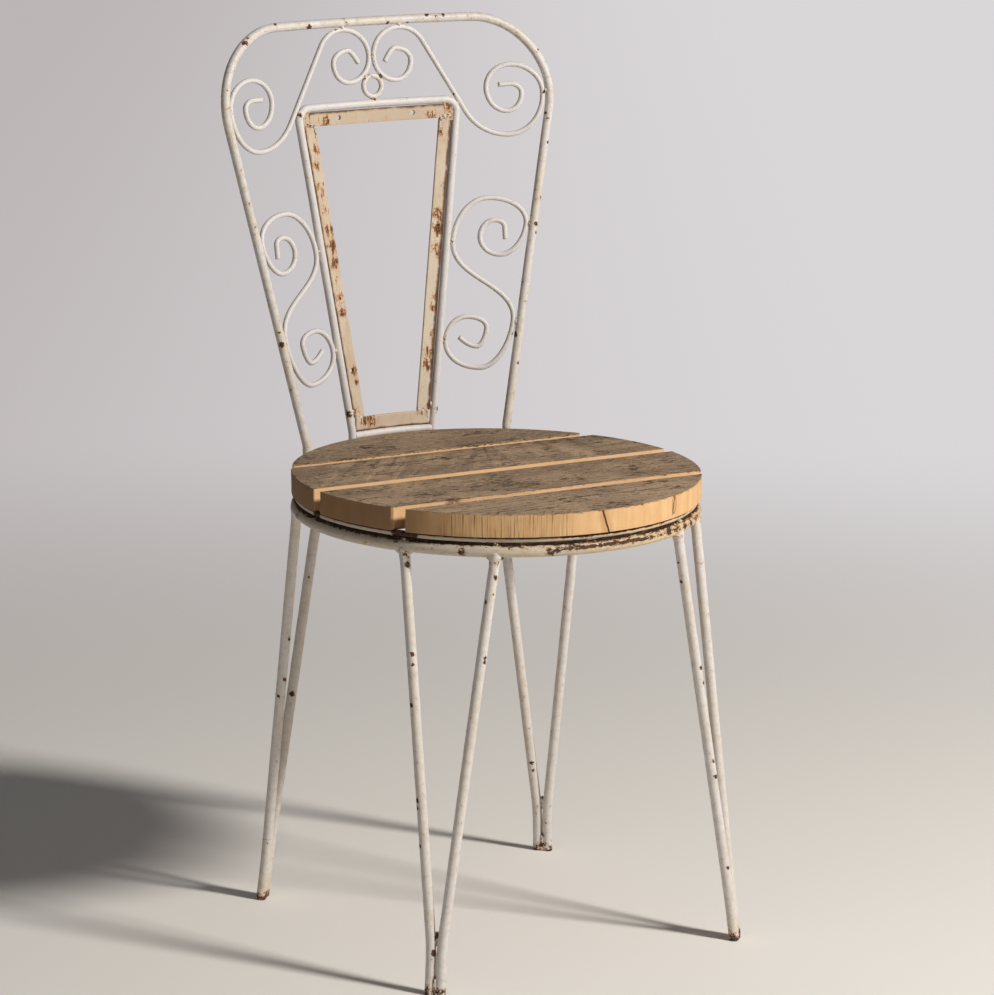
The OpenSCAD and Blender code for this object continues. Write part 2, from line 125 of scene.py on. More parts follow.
def to_frame(p):
    """Millimetres about the seat's centre to metres in the frame."""
    return Vector((p[0] * MM, p[1] * MM + SEAT_Y, p[2] * MM))


def above_bend(z):
    return max(0, z - BEND_Z)


def hoop_x(z):
    return HOOP_BASE + above_bend(z) * math.tan(HOOP_FLARE)


def panel_x(z):
    return PANEL_BASE + above_bend(z) * math.tan(PANEL_FLARE)


def lean_y(z):
    if z <= BEND_Z - BEND_SOFT:
        return 0
    if z >= BEND_Z + BEND_SOFT:
        return (z - BEND_Z) * math.tan(LEAN)
    return (z - BEND_Z + BEND_SOFT) ** 2 / (4 * BEND_SOFT) * math.tan(LEAN)


def bow_x(x, z):
    """How far out a place was before the hoop's flare spread the back."""
    return x * HOOP_BASE / hoop_x(z)


def bow_y(x, z):
    return math.sqrt(SHEET_R**2 - bow_x(x, z) ** 2)


def back_y(x, z):
    """How far back the sheet is: the bow of the seat's edge and the lean above it."""
    return bow_y(x, z) + lean_y(z)


def inwards(x, z, d):
    """The flat distance across that is d along the bowed sheet."""
    xm = x - d / 2
    slope = bow_x(xm, z) / bow_y(xm, z) * HOOP_BASE / hoop_x(z)
    return d / math.sqrt(1 + slope * slope)


def on_back(p, side=1, step=0):
    """A point drawn flat as (x, z) laid on the bowed sheet."""
    return (side * p[0], back_y(p[0], p[1]) - step, p[1])


# ---- drawn lines ----


def level_to_upright(p, q, n):
    turn = [math.pi / 2 * i / n for i in range(1, n + 1)]
    return [(p[0] + (q[0] - p[0]) * math.sin(t), q[1] + (p[1] - q[1]) * math.cos(t)) for t in turn]


def upright_to_level(p, q, n):
    turn = [math.pi / 2 * i / n for i in range(1, n + 1)]
    return [(q[0] + (p[0] - q[0]) * math.cos(t), p[1] + (q[1] - p[1]) * math.sin(t)) for t in turn]


def quarter_turns(points, level_first, n=18):
    line = []
    for i in range(len(points) - 1):
        bend = level_to_upright if (i % 2 == 0) == level_first else upright_to_level
        line += bend(points[i], points[i + 1], n)
    return line


def arc(centre, r, start, end, n=24):
    turn = [start + (end - start) * i / n for i in range(n + 1)]
    return [(centre[0] + r * math.sin(t), centre[1] + r * math.cos(t)) for t in turn]


def straight(a, b, n=12):
    return [tuple(a[k] + (b[k] - a[k]) * i / n for k in range(len(a))) for i in range(n + 1)]


def bend(a, b, c, n=14):
    steps = [i / n for i in range(n + 1)]
    return [
        tuple(a[k] * (1 - t) ** 2 + b[k] * 2 * t * (1 - t) + c[k] * t * t for k in range(len(a)))
        for t in steps
    ]


def long_bend(a, b, c, d, n=30):
    line = []
    for i in range(1, n + 1):
        t, s = i / n, 1 - i / n
        line.append(
            tuple(
                a[k] * s**3 + b[k] * 3 * s * s * t + c[k] * 3 * s * t * t + d[k] * t**3
                for k in (0, 1)
            )
        )
    return line


def even_steps(points, step, closed=False):
    """The same line with its points at equal distances."""
    line = [Vector(p) for p in points]
    if closed:
        line.append(line[0].copy())
    kept = [line[0]]
    for p in line[1:]:
        if (p - kept[-1]).length > 0.02:
            kept.append(p)
    along = [0]
    for a, b in zip(kept, kept[1:]):
        along.append(along[-1] + (b - a).length)
    count = max(2, round(along[-1] / step))
    made, j = [], 0
    for i in range(count + (0 if closed else 1)):
        d = along[-1] * i / count
        while j < len(kept) - 2 and along[j + 1] < d:
            j += 1
        t = (d - along[j]) / (along[j + 1] - along[j])
        made.append(kept[j].lerp(kept[j + 1], min(1, t)))
    return made


# ---- lines of the hoops ----


def hoop_outline(width, flare, corner_r, top_z):
    """The corner's centre, and a line of foot, side, corner and half the top bar, drawn flat."""
    edge = width(top_z)
    reach = corner_r / math.tan((math.pi / 2 - flare) / 2)
    centre = (edge - reach, top_z - corner_r)
    side_end = top_z - reach * math.cos(flare)
    foot, bend_start, bend_end = RING_Z - RING_ROD + 0.3, BEND_Z - BEND_SOFT, BEND_Z + BEND_SOFT
    line = [(width(z), z) for z in (foot, SEAT_LOW, bend_start)]
    line += [(width(z), z) for z in np.linspace(bend_start, bend_end, 9)]
    line += straight((width(bend_end), bend_end), (width(side_end), side_end), 40)
    line += arc(centre, corner_r, math.pi / 2 + flare, 0, 30)
    line += straight((centre[0], top_z), (0, top_z), 20)
    return centre, line


SHOULDER, HOOP_LINE = hoop_outline(hoop_x, HOOP_FLARE, SHOULDER_R, BAR_Z)
PANEL_CORNER, PANEL_LINE = hoop_outline(panel_x, PANEL_FLARE, PANEL_CORNER_R, PANEL_Z)


def both_sides(line, step):
    left = [on_back(p, -1, step) for p in line]
    return left + [on_back(p, 1, step) for p in reversed(line[:-1])]


# ---- lines of the scrolls ----

TOUCH_HOOP = HOOP_ROD + SCROLL_ROD + WELD
TOUCH_PANEL = PANEL_ROD + SCROLL_ROD + WELD
SLANT = math.radians(59.5)
CREST_R, SWEEP_R, SWEEP_Z = 30, 48, SEAT_TOP + 293
CREST_Z = BAR_Z - TOUCH_HOOP
CURL_R, CURL_DROP = 24.6, 27.7
NEAR_X = SCROLL_ROD + WELD / 2
CURL = (NEAR_X + CURL_R, CREST_Z - CURL_DROP)
SLANT_OFF = PANEL_CORNER_R + TOUCH_PANEL
CREST_X = PANEL_CORNER[0] + (
    SLANT_OFF - CREST_R - (CREST_Z - CREST_R - PANEL_CORNER[1]) * math.cos(SLANT)
) / math.sin(SLANT)
SWEEP_X = PANEL_CORNER[0] + (
    SLANT_OFF + SWEEP_R - (SWEEP_Z + SWEEP_R - PANEL_CORNER[1]) * math.cos(SLANT)
) / math.sin(SLANT)
SHOULDER_EDGE = SHOULDER[0] + SHOULDER_R
OUTER = (SHOULDER_EDGE - inwards(SHOULDER_EDGE, SHOULDER[1], TOUCH_HOOP), SHOULDER[1])


def upper_scroll_line():
    def from_curl(x, z):
        return (CURL[0] + x, CURL[1] + z)

    spiral = [(0, 0), (-30, 26.5), (-56, 2.5), (-36.5, -20), (-20.5, -1.5), (-31, 7)]
    spiral = [(OUTER[0] + x, OUTER[1] + z) for x, z in spiral]
    line = bend(from_curl(-12, -6), from_curl(-4, 7), from_curl(0, 7))
    line += quarter_turns(
        [
            from_curl(0, 7),
            from_curl(17.5, -5.5),
            (CURL[0], CURL[1] - CURL_R),
            (NEAR_X, CURL[1]),
            (CREST_X, CREST_Z),
        ],
        True,
    )
    line += arc((CREST_X, CREST_Z - CREST_R), CREST_R, 0, SLANT, 18)
    line += arc((SWEEP_X, SWEEP_Z + SWEEP_R), -SWEEP_R, SLANT, 0, 22)
    line += quarter_turns([(SWEEP_X, SWEEP_Z), OUTER], True, 24)
    line += quarter_turns(spiral, False)
    return line + straight(spiral[-1], (OUTER[0] - 43, OUTER[1] + 6.5), 6)


def lane_point(u, rise):
    """A place across the lane from the panel hoop (0) to the outer hoop (1)."""
    z = SEAT_TOP + rise
    low = panel_x(z) + TOUCH_PANEL / math.cos(PANEL_FLARE)
    high = hoop_x(z) - inwards(hoop_x(z), z, TOUCH_HOOP / math.cos(HOOP_FLARE))
    return (low + (high - low) * u, z)


HIGH_SPIRAL = [
    (0.72, 200), (0.57, 207.5), (0.39, 193), (0.71, 173), (1, 203), (0.45, 230), (0, 188)]
LOW_SPIRAL = [(1, 106), (0.6, 60), (0, 88.5), (0.3, 111.5), (0.63, 99.5), (0.51, 81.5)]


def side_scroll_line():
    line = straight((0.75, 188), HIGH_SPIRAL[0], 5)
    line += quarter_turns(HIGH_SPIRAL, False)
    a, b = HIGH_SPIRAL[-1], LOW_SPIRAL[0]
    reach = 39  # how far each end of the long bend runs straight on
    line += long_bend(a, (a[0], a[1] - reach), (b[0], b[1] + reach), b)
    line += quarter_turns(LOW_SPIRAL, False)
    end = LOW_SPIRAL[-1]
    line += bend(end, (end[0] - 0.12, end[1]), (0.22, 91))
    return [lane_point(u, rise) for u, rise in line]


CURL_ABOVE = CURL[1] - (PANEL_Z + PANEL_ROD + WELD)
CURL_REACH = CURL_R + SCROLL_ROD + WELD
CENTRE_OUT = (CURL[0] ** 2 + CURL_ABOVE**2 - CURL_REACH**2) / (2 * (CURL_ABOVE + CURL_REACH))
CENTRE_Z = PANEL_Z + PANEL_ROD + WELD + CENTRE_OUT


# ---- lines of the legs ----

LEGS = {
    "front_left": (-1, -1, Vector((-172, -178, 0))),
    "front_right": (-1, 1, Vector((172, -178, 0))),
    "back_left": (1, -1, Vector((-167, 167, 0))),
    "back_right": (1, 1, Vector((167, 167, 0))),
}
LEG_TOP_Z = RING_Z - RING_ROD - WELD
LEG_OFF = LEG_ROD + WELD


def leg_bearing(name):
    fore, side, _ = LEGS[name]
    return math.atan2(fore, side)


def leg_top(name, which):
    a = leg_bearing(name) + which * math.radians(LEG_SPREAD)
    return Vector((RING_R * math.cos(a), RING_R * math.sin(a), LEG_TOP_Z))


def middle_top(name):
    """Midway between the tops of a leg's two rods."""
    return (leg_top(name, -1) + leg_top(name, 1)) / 2


def leg_side_by_side(name, which, z):
    """A place low in a leg, where its two rods run side by side."""
    foot = LEGS[name][2]
    top = middle_top(name)
    a = leg_bearing(name)
    across = Vector((-math.sin(a), math.cos(a), 0))
    return foot + (top - foot) * z / LEG_TOP_Z + which * LEG_OFF * across


def leg_middle(name, z):
    """Between the two rods of a leg, low down."""
    return (leg_side_by_side(name, -1, z) + leg_side_by_side(name, 1, z)) / 2


def leg_line(name, which):
    """One bent rod of a leg, from below the floor up into the ring."""
    foot = leg_side_by_side(name, which, -BELOW_FLOOR)
    knee = leg_side_by_side(name, which, KNEE_Z)
    top = leg_top(name, which)
    before, after = knee.lerp(foot, 0.25), knee.lerp(top, 0.035)
    end = top + (top - knee).normalized() * INTO_RING
    return straight(foot, before, 8) + bend(before, knee, after, 8) + straight(after, end, 60)


# ---- places where paint is lost, each with its radius and strength last ----

# Across, height above the seat: the front of the back's rods
BACK_RUST = [
    (-73, 410, 2.1, 1.4), (-156, 400, 2.8, 1.1), (-150, 405, 2.1, 0.9), (-115, 416, 1.3, 1.3),
    (12, 416, 1.3, 1.2), (63, 416, 1.9, 1.3), (81, 415, 1.6, 1.0), (139, 415, 1.7, 1.2),
    (150, 411, 1.6, 1.2), (120, 417, 1.6, 1.0), (180, 335, 1.6, 1.2), (179, 314, 1.6, 1.2),
    (181, 308, 1.6, 1.1), (179, 285, 1.4, 1.3), (178, 378, 1.4, 1.0), (170, 393, 1.4, 1.0),
    (19, 408, 2.1, 1.2), (42, 407, 2.3, 1.2), (-41, 406, 2.1, 1.0), (-91, 324, 1.8, 0.9),
    (88, 334, 2.1, 1.1), (160, 204, 1.9, 1.3), (160, 195, 1.8, 1.2), (-52, 24, 3.5, 0.8),
    (52, 20, 3.5, 0.8), (-142, 107, 2.8, 1.3), (-144, 119, 1.8, 1.0), (131, 94, 2.3, 1.4),
    (131, 65, 1.6, 1.2), (134, 72, 1.3, 1.0), (-60, 150, 1.8, 0.7), (0, 334, 1.8, 0.8),
]
# The same on the rear of those rods
REAR_RUST = [
    (-120, 416, 2.4, 1.2), (30, 417, 2.0, 1.3), (100, 416, 2.6, 1.0), (176, 360, 2.2, 1.2),
    (150, 180, 2.6, 1.1), (-150, 190, 2.4, 1.2), (-130, 60, 3.0, 1.0), (128, 45, 2.8, 1.1),
    (-176, 372, 2.4, 1.1), (66, 60, 2.4, 1.0), (-163, 250, 2.2, 1.2), (-80, 334, 2.2, 1.1),
    (75, 260, 2.4, 1.0), (-72, 210, 2.0, 1.1),
]
# The same on the flat strips
STRIP_RUST = [
    (-70, 255, 6, 0.8), (-72, 274, 6, 0.8), (-67, 244, 5, 0.7), (-64, 229, 6, 0.7),
    (-60, 209, 8, 0.9), (-57, 193, 8, 1.0), (-57, 177, 7, 0.9), (-55, 159, 5, 0.7),
    (-53, 139, 6, 0.9), (-51, 127, 6, 0.9),
    (-41, 67, 5, 1.0), (-39, 55, 4, 0.7), (72, 244, 5, 0.5), (66, 200, 8, 1.0), (63, 180, 8, 0.9),
    (66, 215, 8, 0.9), (60, 150, 4, 0.6), (58, 132, 6, 1.0), (56, 122, 6, 0.9), (51, 98, 4, 0.8),
    (48, 78, 7, 1.0), (46, 66, 7, 0.9), (42, 45, 6, 0.6), (-28, 16, 8, 0.9), (36, 17, 7, 0.8),
    (62, 313, 7, 0.8), (-44, 312, 4, 0.5), (-60, 316, 8, 0.8), (70, 300, 7, 0.8),
    (-70, 292, 8, 0.7), (-5, 312, 4, 0.5), (-24, 16, 7, 0.9), (-45, 24, 6, 0.8), (45, 24, 6, 0.8),
]
# Bearing about the seat, height from the ring's middle
RING_RUST = [
    (-131, -1, 3.5, 1.0), (-107, -1, 4, 1.0), (-105, 1, 3, 0.9), (-139, 3, 3, 0.6),
    (-118, 5, 2.5, 0.8), (-115, 5, 2.5, 0.8), (-66, 2, 4, 0.9), (-62, 0, 3, 0.8), (-57, 1, 4, 0.8),
    (-52, 0, 4, 0.9), (-47, 1, 3, 0.8), (-36, 0, 4, 0.7), (-20, 2, 4, 0.7), (5, 1, 5, 0.8),
    (22, -2, 4, 0.8), (60, 1, 4, 0.8), (95, 0, 5, 0.8), (118, 2, 4, 0.7), (140, 0, 4, 0.6),
    (165, 1, 4, 0.6), (-160, -2, 3, 0.6), (-150, 4, 3, 0.5),
]
# Bearings of the rings' worn through front, of the rust beyond it and of the most dirt
WORN_FRONT, RUST_BEYOND, DIRT_MIDDLE = -88, -60, -75
# Leg, which of its two rods, height, bearing about the rod
LEG_RUST = [
    ("front_left", -1, 402, -95, 2.6, 1.2), ("front_left", -1, 319, -110, 1.5, 1.5),
    ("front_left", -1, 309, -117, 1.7, 0.8), ("front_left", -1, 271, -170, 1.6, 1.4),
    ("front_left", -1, 182, -185, 2.0, 1.5), ("front_left", -1, 175, -190, 1.7, 1.5),
    ("front_left", -1, 140, -185, 1.6, 1.5), ("front_left", -1, 40, -90, 2.2, 1.4),
    ("front_left", 1, 395, -90, 1.6, 1.4), ("front_left", 1, 379, -85, 1.4, 1.0),
    ("front_left", 1, 320, -78, 1.6, 1.5), ("front_left", 1, 315, -72, 1.9, 1.3),
    ("front_left", 1, 372, -165, 1.3, 1.3), ("front_left", 1, 210, 60, 2.1, 1.3),
    ("back_left", 1, 278, -75, 1.3, 1.3), ("back_left", 1, 236, -88, 1.5, 1.5),
    ("back_left", 1, 219, -140, 1.4, 1.4), ("back_left", 1, 60, -110, 1.1, 1.2),
    ("back_left", 1, 130, 60, 2.2, 1.2), ("back_left", -1, 209, -118, 2.1, 1.4),
    ("back_left", -1, 328, -120, 1.3, 1.2), ("back_left", -1, 150, 70, 1.9, 1.3),
    ("back_right", 1, 98, -122, 1.5, 1.4), ("back_right", 1, 89, -118, 1.4, 0.9),
    ("back_right", 1, 18, -70, 2.1, 1.3), ("back_right", 1, 300, 30, 2.1, 1.3),
    ("back_right", -1, 230, 80, 1.9, 1.3), ("back_right", -1, 120, 100, 2.2, 1.2),
    ("front_right", -1, 279, -62, 1.6, 1.5), ("front_right", -1, 264, -52, 1.5, 1.5),
    ("front_right", -1, 184, -80, 1.4, 1.2), ("front_right", -1, 169, -76, 1.5, 1.5),
    ("front_right", -1, 75, -88, 1.5, 1.5), ("front_right", -1, 22, -42, 1.7, 1.4),
    ("front_right", -1, 366, -165, 1.2, 1.4), ("front_right", -1, 385, -170, 1.2, 1.4),
    ("front_right", 1, 140, 40, 2.2, 1.2), ("front_right", 1, 330, 10, 1.7, 1.3),
]


ROD_FACE = 3.5  # from a rod's middle line towards its front or rear


def back_spots(places, out=-ROD_FACE):
    """Spots on the back, on the front of their rods, or on the rear where out is above 0."""
    made = []
    for x, h, r, s in places:
        x0, y0, z0 = on_back((abs(x), SEAT_TOP + h), 1 if x >= 0 else -1)
        made.append((to_frame((x0, y0 + out, z0)), r, s))
    return made


def rod_spots():
    """All the lost paint on the back's rods, front and rear."""
    return back_spots(BACK_RUST) + back_spots(REAR_RUST, ROD_FACE)


def ring_spots():
    made = []
    for bearing, up, r, s in RING_RUST:
        a = math.radians(bearing)
        made.append((to_frame((SEAT_R * math.cos(a), SEAT_R * math.sin(a), RING_Z + up)), r, s))
    return made


def leg_point_at(name, which, z):
    """A place on the middle line of a leg's rod, above its bend."""
    top = leg_top(name, which)
    knee = leg_side_by_side(name, which, KNEE_Z)
    return knee.lerp(top, (z - KNEE_Z) / (LEG_TOP_Z - KNEE_Z))


def leg_spots():
    made = []
    for name, which, z, bearing, r, s in LEG_RUST:
        a = math.radians(bearing)
        out = Vector((math.cos(a), math.sin(a), 0)) * LEG_ROD
        made.append((to_frame(leg_point_at(name, which, z) + out), r, s))
    return made


# ---- settings ----


class ChairSizes(bpy.types.PropertyGroup):
    bead: FloatProperty(
        name="Weld bead", description="Radius of a weld bead between two rods",
        default=0.0026, min=0.001, max=0.005, unit="LENGTH")
    fillet: FloatProperty(
        name="Leg weld", description="Length of the flared weld where a leg meets the ring",
        default=0.009, min=0.002, max=0.02, unit="LENGTH")
    board_edge: FloatProperty(
        name="Board edge", description="Rounding of the boards' edges",
        default=0.0007, min=0.0003, max=0.003, unit="LENGTH")
    strip_edge: FloatProperty(
        name="Strip edge", description="Rounding of the flat strips' edges",
        default=0.0006, min=0.0002, max=0.0012, unit="LENGTH")


class ChairColours(bpy.types.PropertyGroup):
    cream: FloatVectorProperty(
        name="Cream paint", description="Colour of the paint on the rods",
        subtype="COLOR", size=3, default=(0.72, 0.685, 0.665), min=0, max=1)
    beige: FloatVectorProperty(
        name="Old beige paint", description="Colour of the older paint on the flat strips",
        subtype="COLOR", size=3, default=(0.58, 0.445, 0.315), min=0, max=1)
    rust: FloatVectorProperty(
        name="Rust", description="Colour of fresh orange rust",
        subtype="COLOR", size=3, default=(0.33, 0.125, 0.035), min=0, max=1)
    dark_rust: FloatVectorProperty(
        name="Old rust", description="Colour of old dark rust",
        subtype="COLOR", size=3, default=(0.050, 0.022, 0.013), min=0, max=1)
    grey_wood: FloatVectorProperty(
        name="Weathered wood", description="Colour of the boards' weathered tops",
        subtype="COLOR", size=3, default=(0.56, 0.37, 0.22), min=0, max=1)
    sawn_wood: FloatVectorProperty(
        name="Sawn wood", description="Colour of the freshly sawn edges",
        subtype="COLOR", size=3, default=(0.72, 0.42, 0.19), min=0, max=1)
    floor: FloatVectorProperty(
        name="Floor", description="Colour of the studio floor",
        subtype="COLOR", size=3, default=(0.98, 0.94, 0.885), min=0, max=1)


# ---- shader maths ----


class Sock:
    """A node socket that takes part in Python expressions."""

    def __init__(self, nodes, socket):
        self.nodes, self.socket = nodes, socket

    def maths(self, operation, *others):
        return self.nodes.add("ShaderNodeMath", {"operation": operation}, [self, *others])

    def __add__(self, other):
        return self.maths("ADD", other)

    def __radd__(self, other):
        return self.maths("ADD", other)

    def __sub__(self, other):
        return self.maths("SUBTRACT", other)

    def __rsub__(self, other):
        return self.nodes.add("ShaderNodeMath", {"operation": "SUBTRACT"}, [other, self])

    def __mul__(self, other):
        return self.maths("MULTIPLY", other)

    def __rmul__(self, other):
        return self.maths("MULTIPLY", other)

    def __truediv__(self, other):
        return self.maths("DIVIDE", other)

    def __abs__(self):
        return self.maths("ABSOLUTE")

    def highest(self, other):
        return self.maths("MAXIMUM", other)


class Nodes:
    """The node tree of one material."""

    def __init__(self, name):
        self.material = bpy.data.materials.new(name)
        self.material.use_nodes = True
        self.tree = self.material.node_tree
        self.tree.nodes.clear()

    def add(self, kind, settings=None, inputs=None, out=0):
        """A node of a kind: its settings first, then the values or links of its sockets."""
        node = self.tree.nodes.new(kind)
        for key, value in (settings or {}).items():
            setattr(node, key, value)
        pairs = inputs.items() if isinstance(inputs, dict) else enumerate(inputs or [])
        for key, value in pairs:
            socket = node.inputs[key]
            if isinstance(value, Sock):
                self.tree.links.new(value.socket, socket)
            else:
                socket.default_value = value
        return Sock(self, node.outputs[out]) if len(node.outputs) else None

    def place(self):
        return self.add("ShaderNodeTexCoord", out="Object")

    def attribute(self, name):
        return self.add("ShaderNodeAttribute", {"attribute_name": name}, out="Fac")

    def stretched(self, vector, scale, shift=(0, 0, 0)):
        """A place scaled along each axis: a pattern on it is longer where the scale is small."""
        return self.add(
            "ShaderNodeMapping", None, {"Vector": vector, "Location": shift, "Scale": scale})

    def noise(self, vector, scale, detail=3.0, rough=0.5):
        return self.add(
            "ShaderNodeTexNoise", None,
            {"Vector": vector, "Scale": scale, "Detail": detail, "Roughness": rough})

    def between(self, value, low, high):
        """0 below low, 1 above high, smooth between."""
        return self.add(
            "ShaderNodeMapRange", {"interpolation_type": "SMOOTHSTEP"},
            {"Value": value, "From Min": low, "From Max": high})

    def mix(self, factor, a, b):
        """Mixes two colours, through the sockets that the node keeps for colours."""

        def whole(c):
            return c if isinstance(c, Sock) else (*tuple(c)[:3], 1.0)

        return self.add(
            "ShaderNodeMix", {"data_type": "RGBA"},
            {"Factor": factor, 6: whole(a), 7: whole(b)}, out=2)

    def parts(self, vector):
        """The three numbers of a place."""
        node = self.add("ShaderNodeSeparateXYZ", None, [vector]).socket.node
        return [Sock(self, node.outputs[i]) for i in range(3)]

    def joined(self, x, y, z):
        return self.add("ShaderNodeCombineXYZ", None, [x, y, z])

    def bump(self, height, distance):
        return self.add("ShaderNodeBump", None, {"Distance": distance, "Height": height})

    def surface(self, colour, rough, normal, metal=0.0, specular=0.5):
        """Closes the tree with one shader and gives the finished material."""
        shader = self.add(
            "ShaderNodeBsdfPrincipled", None,
            {"Base Color": colour, "Roughness": rough, "Metallic": metal,
             "Specular IOR Level": specular, "Normal": normal})
        self.add("ShaderNodeOutputMaterial", None, [shader])
        return self.material


def seat_height(rise):
    """A height above the boards' tops, or below them, in metres."""
    return (SEAT_TOP + rise) * MM


def blotch(n, x, y, centre, radii):
    """1 inside an oval on the seat, fading to 0 from half its radius to one and a half."""
    dx = (x - centre[0] * MM) / (radii[0] * MM)
    dy = (y - (centre[1] * MM + SEAT_Y)) / (radii[1] * MM)
    return 1 - n.between((dx * dx + dy * dy).maths("SQRT"), 0.5, 1.5)


def cream_paint(name="cream_paint", squash=1.0, grime=0.0, stained=False):
    """Yellowed cream paint, chipped down to rust where the wear attribute is high."""
    brown_stain = (0.50, 0.30, 0.13)
    colours = bpy.context.scene.chair_colours
    n = Nodes(name)
    at = n.stretched(n.place(), (1, 1, squash))
    wear = n.attribute("wear")
    dirt = n.attribute("dirt")
    broad = n.noise(at, 22, 2)
    middling = n.noise(at, 150, 4, 0.6)
    fine = n.noise(at, 520, 3, 0.6)
    grain = n.noise(at, 1500, 2)
    flake = (middling * 0.55 + fine * 0.45 - 0.5) * 1.35 + 0.5
    level = 0.72 - wear * 0.36 - n.between(broad, 0.5, 0.75) * 0.03
    bare = n.between(flake - level, 0.0, 0.018)
    halo = n.between(flake - level, -0.14, 0.01) * n.between(wear, 0.08, 0.35)
    specks = n.between(n.noise(at, 780, 1), 0.72, 0.76)

    shade = n.between(broad, 0.3, 0.7)
    paint = n.mix(shade * 0.3, colours.cream, (0.67, 0.63, 0.58))
    paint = n.mix(n.between(middling, 0.45, 0.65) * 0.12, paint, (0.50, 0.45, 0.38))
    paint = n.mix(grime, paint, (0.46, 0.37, 0.26))
    if stained:
        # Orange stains where the front right of the rings stood wet
        x, y, _ = n.parts(n.place())
        wet = n.between(x, -0.05, 0.07) * (1 - n.between(y - SEAT_Y, 0.0, 0.08))
        cloud = n.between(n.noise(at, 60, 3), 0.38, 0.6)
        paint = n.mix(wet * (cloud * 0.45 + 0.5), paint, (0.84, 0.54, 0.28))
        paint = n.mix(wet * n.between(fine, 0.50, 0.62) * 0.55, paint, (0.45, 0.17, 0.05))
    patches = n.between(n.noise(n.stretched(at, (1, 1, 0.4)), 26, 3), 0.40, 0.62)
    paint = n.mix(dirt * (patches * 0.75 + 0.1), paint, (0.66, 0.55, 0.35))
    stains = n.between(fine * 0.4 + middling * 0.6, 0.44, 0.62)
    paint = n.mix(dirt * stains * 0.7, paint, brown_stain)
    paint = n.mix(halo * 0.55, paint, brown_stain)
    paint = n.mix(specks * 0.7, paint, (0.16, 0.09, 0.05))
    iron = n.mix(n.between(fine, 0.54, 0.72), colours.dark_rust, colours.rust)
    iron = n.mix(n.between(grain, 0.6, 0.75) * 0.3, iron, (0.40, 0.20, 0.09))
    colour = n.mix(bare, paint, iron)
    rough = 0.42 + middling * 0.2 + bare * 0.35
    film = (1 - bare) * 0.8 + broad * 0.3 + middling * 0.12 + grain * bare * 0.5
    return n.surface(colour, rough, n.bump(film, 0.00028))


def ring_paint():
    """The same paint, grimy, with its chips spread out along the rings."""
    return cream_paint("ring_paint", squash=2.6, grime=0.6, stained=True)


def old_beige_paint():
    """Thin beige paint with rust running down from the bare places."""
    colours = bpy.context.scene.chair_colours
    n = Nodes("old_beige_paint")
    at = n.place()
    wear = n.attribute("wear")
    runs = n.noise(n.stretched(at, (1, 1, 0.2)), 330, 4, 0.65)
    middling = n.noise(at, 110, 4, 0.6)
    fine = n.noise(at, 480, 3, 0.6)
    grain = n.noise(at, 1400, 2)
    broad = n.noise(at, 30, 2)
    flake = runs * 0.5 + fine * 0.28 + middling * 0.22
    level = 0.69 - wear * 0.24
    bare = n.between(flake - level, 0.0, 0.035)
    halo = n.between(flake - level, -0.06, 0.01)
    paint = n.mix(n.between(broad, 0.38, 0.62), colours.beige, (0.63, 0.52, 0.40))
    across, _, up = n.parts(at)
    # Paler low on the right, darker along the top
    low = 1 - n.between(up, seat_height(160), seat_height(300))
    paint = n.mix(n.between(across, 0.0, 0.04) * low * 0.6, paint, (0.74, 0.65, 0.51))
    high = n.between(up, seat_height(300), seat_height(312))
    paint = n.mix(high * 0.5, paint, (0.49, 0.38, 0.26))
    paint = n.mix(n.between(runs, 0.52, 0.7) * 0.45, paint, (0.50, 0.31, 0.16))
    paint = n.mix(n.between(fine, 0.58, 0.70) * 0.3, paint, (0.42, 0.28, 0.17))
    paint = n.mix(halo * 0.75, paint, (0.50, 0.22, 0.065))
    iron = n.mix(n.between(fine, 0.46, 0.66), colours.dark_rust, colours.rust)
    iron = n.mix(n.between(grain, 0.55, 0.7) * 0.4, iron, (0.42, 0.18, 0.06))
    colour = n.mix(bare, paint, iron)
    # The seam against the rod is full of old rust, and its darkest core is painted shadow in the
    # gap
    seam_rust_and_shadow = n.attribute("seam_rust_and_shadow") + (middling - 0.5) * 1.3
    colour = n.mix(n.between(seam_rust_and_shadow, 0.15, 0.6) * 0.6, colour, (0.36, 0.17, 0.07))
    colour = n.mix(n.between(seam_rust_and_shadow, 0.55, 0.85) * 0.9, colour, (0.07, 0.033, 0.02))
    rough = 0.55 + middling * 0.15 + bare * 0.25
    film = (1 - bare) * 0.7 + middling * 0.35 + fine * 0.15 + grain * bare * 0.5
    return n.surface(colour, rough, n.bump(film, 0.0003))


